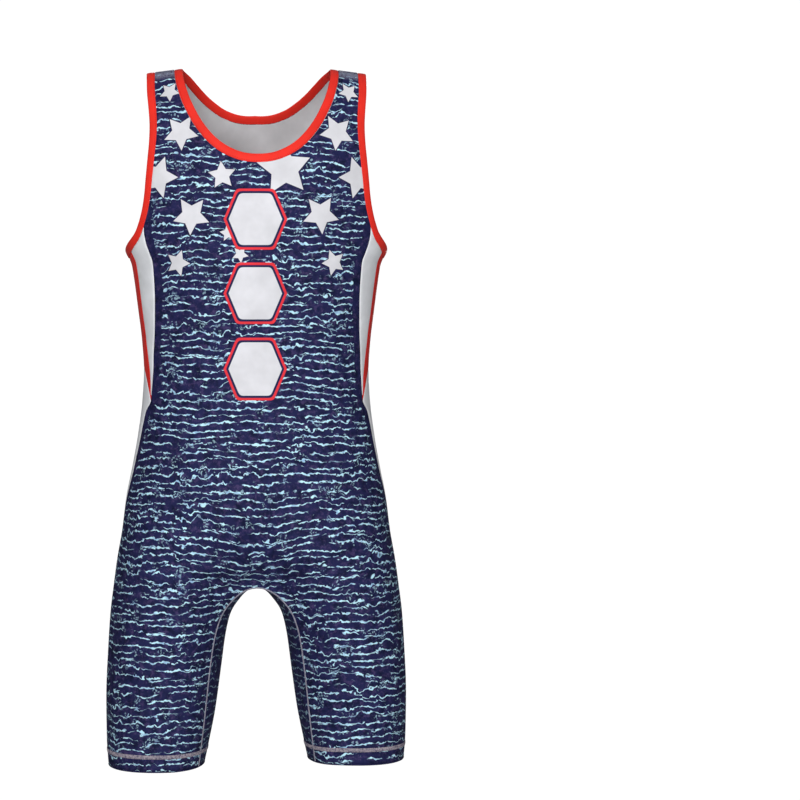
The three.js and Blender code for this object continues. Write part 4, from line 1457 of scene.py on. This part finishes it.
def hemRings():
    columns = []
    for outward, height in hemProfile:
        points, normals = hemRing(form["hem"] + max(height, 0.0))
        moved = points + normals * outward
        moved[:, 2] += min(height, 0.0)
        columns.append(moved)
    return np.stack(columns, axis=1)


# The hem turn-ups take the same print, with its painted shade
hemShadeDimmedPrint = shadeDimmedPrint
bandPoints, bandNormals = hemRing(form["hem"] + hemDepth - 1.0)
bandPoints = bandPoints + bandNormals * form["clothHalf"]
for side, mirror in (("left", 1.0), ("right", -1.0)):
    turn = np.array([mirror, 1.0, 1.0])
    rings = hemRings() * turn
    lengths = np.linalg.norm(np.diff(rings[:, 0], axis=0), axis=1)
    lengths = np.concatenate([[0], np.cumsum(lengths)])
    lay = np.dstack(np.meshgrid(lengths + 500.0, [form["hem"] - h for _, h in hemProfile], indexing="ij"))
    hemTurnUp = bandShell(side + "HemTurnUp", rings, lay, [hemShadeDimmedPrint])
    facesOutward(hemTurnUp)
    hemTrims = seamBand(
        side + "HemSeam", bandPoints * turn, bandNormals * turn, seams["hemWidth"], hemThread, True
    )
    for trim in hemTrims:
        placeTrim(trim)
    placePiece(hemTurnUp, "hem_turn_up_" + side)

shoulderTrims = []
for side, mirror in (("left", 1.0), ("right", -1.0)):
    xs = np.linspace(neckSeamOf["front"][0][0] + 0.3, armholeSeam[0][0] - 0.3, 16)
    points = np.column_stack([xs * mirror, np.zeros(16), np.full(16, form["clothHalf"])])
    normals = np.tile([0.0, 0.0, 1.0], (16, 1))
    shoulderTrims += seamBand(
        side + "ShoulderSeam", points, normals, seams["shoulderWidth"], shoulderThread, False
    )
for trim in shoulderTrims:
    placeTrim(trim)
print("seams ready")

placePiece(frontBody, "front_body")
placePiece(backBody, "back_body")
placePiece(gusset, "crotch_gusset")

# Stage, lights and camera
stage = {"floor": -1.5, "size": 16.0, "wall": 6.0, "curve": 2.5, "pale": (0.3, 0.3, 0.3, 1), "lift": 0.92}
bpy.ops.object.select_all(action="DESELECT")
bpy.ops.mesh.primitive_plane_add(size=stage["size"], location=(0, 0, stage["floor"]))
backdrop = bpy.context.object
backdrop.name = "backdrop"
bpy.ops.object.mode_set(mode="EDIT")
bpy.ops.mesh.select_all(action="DESELECT")
bpy.ops.object.mode_set(mode="OBJECT")
for edge in backdrop.data.edges:
    edge.select = all(backdrop.data.vertices[v].co.y > 0 for v in edge.vertices)
bpy.ops.object.mode_set(mode="EDIT")
bpy.ops.mesh.select_mode(type="EDGE")
bpy.ops.mesh.extrude_region_move(TRANSFORM_OT_translate={"value": (0, 0, stage["wall"])})
bpy.ops.object.mode_set(mode="OBJECT")
bend = backdrop.modifiers.new("bend", "BEVEL")
bend.width = stage["curve"]
bend.segments = 12
bend.limit_method = "ANGLE"
bpy.ops.object.modifier_apply(modifier="bend")
bpy.ops.object.shade_smooth()
bpy.ops.object.transform_apply(location=True, rotation=False, scale=False)
paleMaterial, tree, shader = newMaterial("paleStage")
shader.inputs["Base Color"].default_value = stage["pale"]
shader.inputs["Roughness"].default_value = 0.9
shader.inputs["Specular IOR Level"].default_value = 0.0
glow = tree.nodes.new("ShaderNodeEmission")
seen = tree.nodes.new("ShaderNodeLightPath")
lift = mathNode(tree, "MULTIPLY", seen.outputs["Is Camera Ray"], stage["lift"])
mixed = tree.nodes.new("ShaderNodeMixShader")
tree.links.new(lift, mixed.inputs[0])
tree.links.new(shader.outputs[0], mixed.inputs[1])
tree.links.new(glow.outputs[0], mixed.inputs[2])
tree.links.new(mixed.outputs[0], tree.nodes["Material Output"].inputs["Surface"])
glow.inputs["Strength"].default_value = 1.12
backdrop.data.materials.append(paleMaterial)

# Place, size in metres and power in watts
lights = {
    "keyLight": ((-1.0, -3.2, 0.5), 1.4, 78.0),
    "fillLight": ((1.3, -3.1, -0.4), 1.4, 42.0),
    "topLight": ((0.0, -0.6, 2.4), 1.4, 9.0),
    "backLight": ((0.3, 3.4, 0.2), 1.4, 90.0),
}
for name, (place, size, power) in lights.items():
    lamp = bpy.data.lights.new(name, "AREA")
    lamp.shape = "SQUARE"
    lamp.size = size
    lamp.energy = power
    holder = bpy.data.objects.new(name, lamp)
    bpy.context.scene.collection.objects.link(holder)
    holder.location = place
    aim = np.array([0.0, 0.0, -0.45]) - np.array(place)
    holder.rotation_euler = (
        math.atan2(math.hypot(aim[0], aim[1]), -aim[2]), 0.0, math.atan2(-aim[0], aim[1])
    )

# The studio is white to the camera and dimmer as a light
studio = {"seen": 1.05, "light": 0.09}
world = bpy.data.worlds.new("studio")
bpy.context.scene.world = world
world.use_nodes = True
sky = world.node_tree
background = sky.nodes["Background"]
background.inputs["Color"].default_value = (1, 1, 1, 1)
seen = sky.nodes.new("ShaderNodeLightPath")
strength = sky.nodes.new("ShaderNodeMapRange")
strength.inputs["To Min"].default_value = studio["light"]
strength.inputs["To Max"].default_value = studio["seen"]
sky.links.new(seen.outputs["Is Camera Ray"], strength.inputs["Value"])
sky.links.new(strength.outputs["Result"], background.inputs["Strength"])
bpy.context.scene.view_settings.view_transform = "Standard"
bpy.context.scene.view_settings.look = "None"

shot = {"distance": 2.8, "height": -0.402, "turn": 1.2, "wide": 0.976, "middle": 256.3, "frame": 800.0}
camera = bpy.data.cameras.new("camera")
camera.sensor_width = 36.0
camera.lens = 36.0 * shot["distance"] / shot["wide"]
camera.shift_x = 0.5 - shot["middle"] / shot["frame"]
holder = bpy.data.objects.new("camera", camera)
bpy.context.scene.collection.objects.link(holder)
angle = math.radians(shot["turn"])
holder.location = (
    -shot["distance"] * math.sin(angle), -shot["distance"] * math.cos(angle), shot["height"]
)
holder.rotation_euler = (math.pi / 2, 0.0, -angle)
bpy.context.scene.camera = holder

print("scene ready")
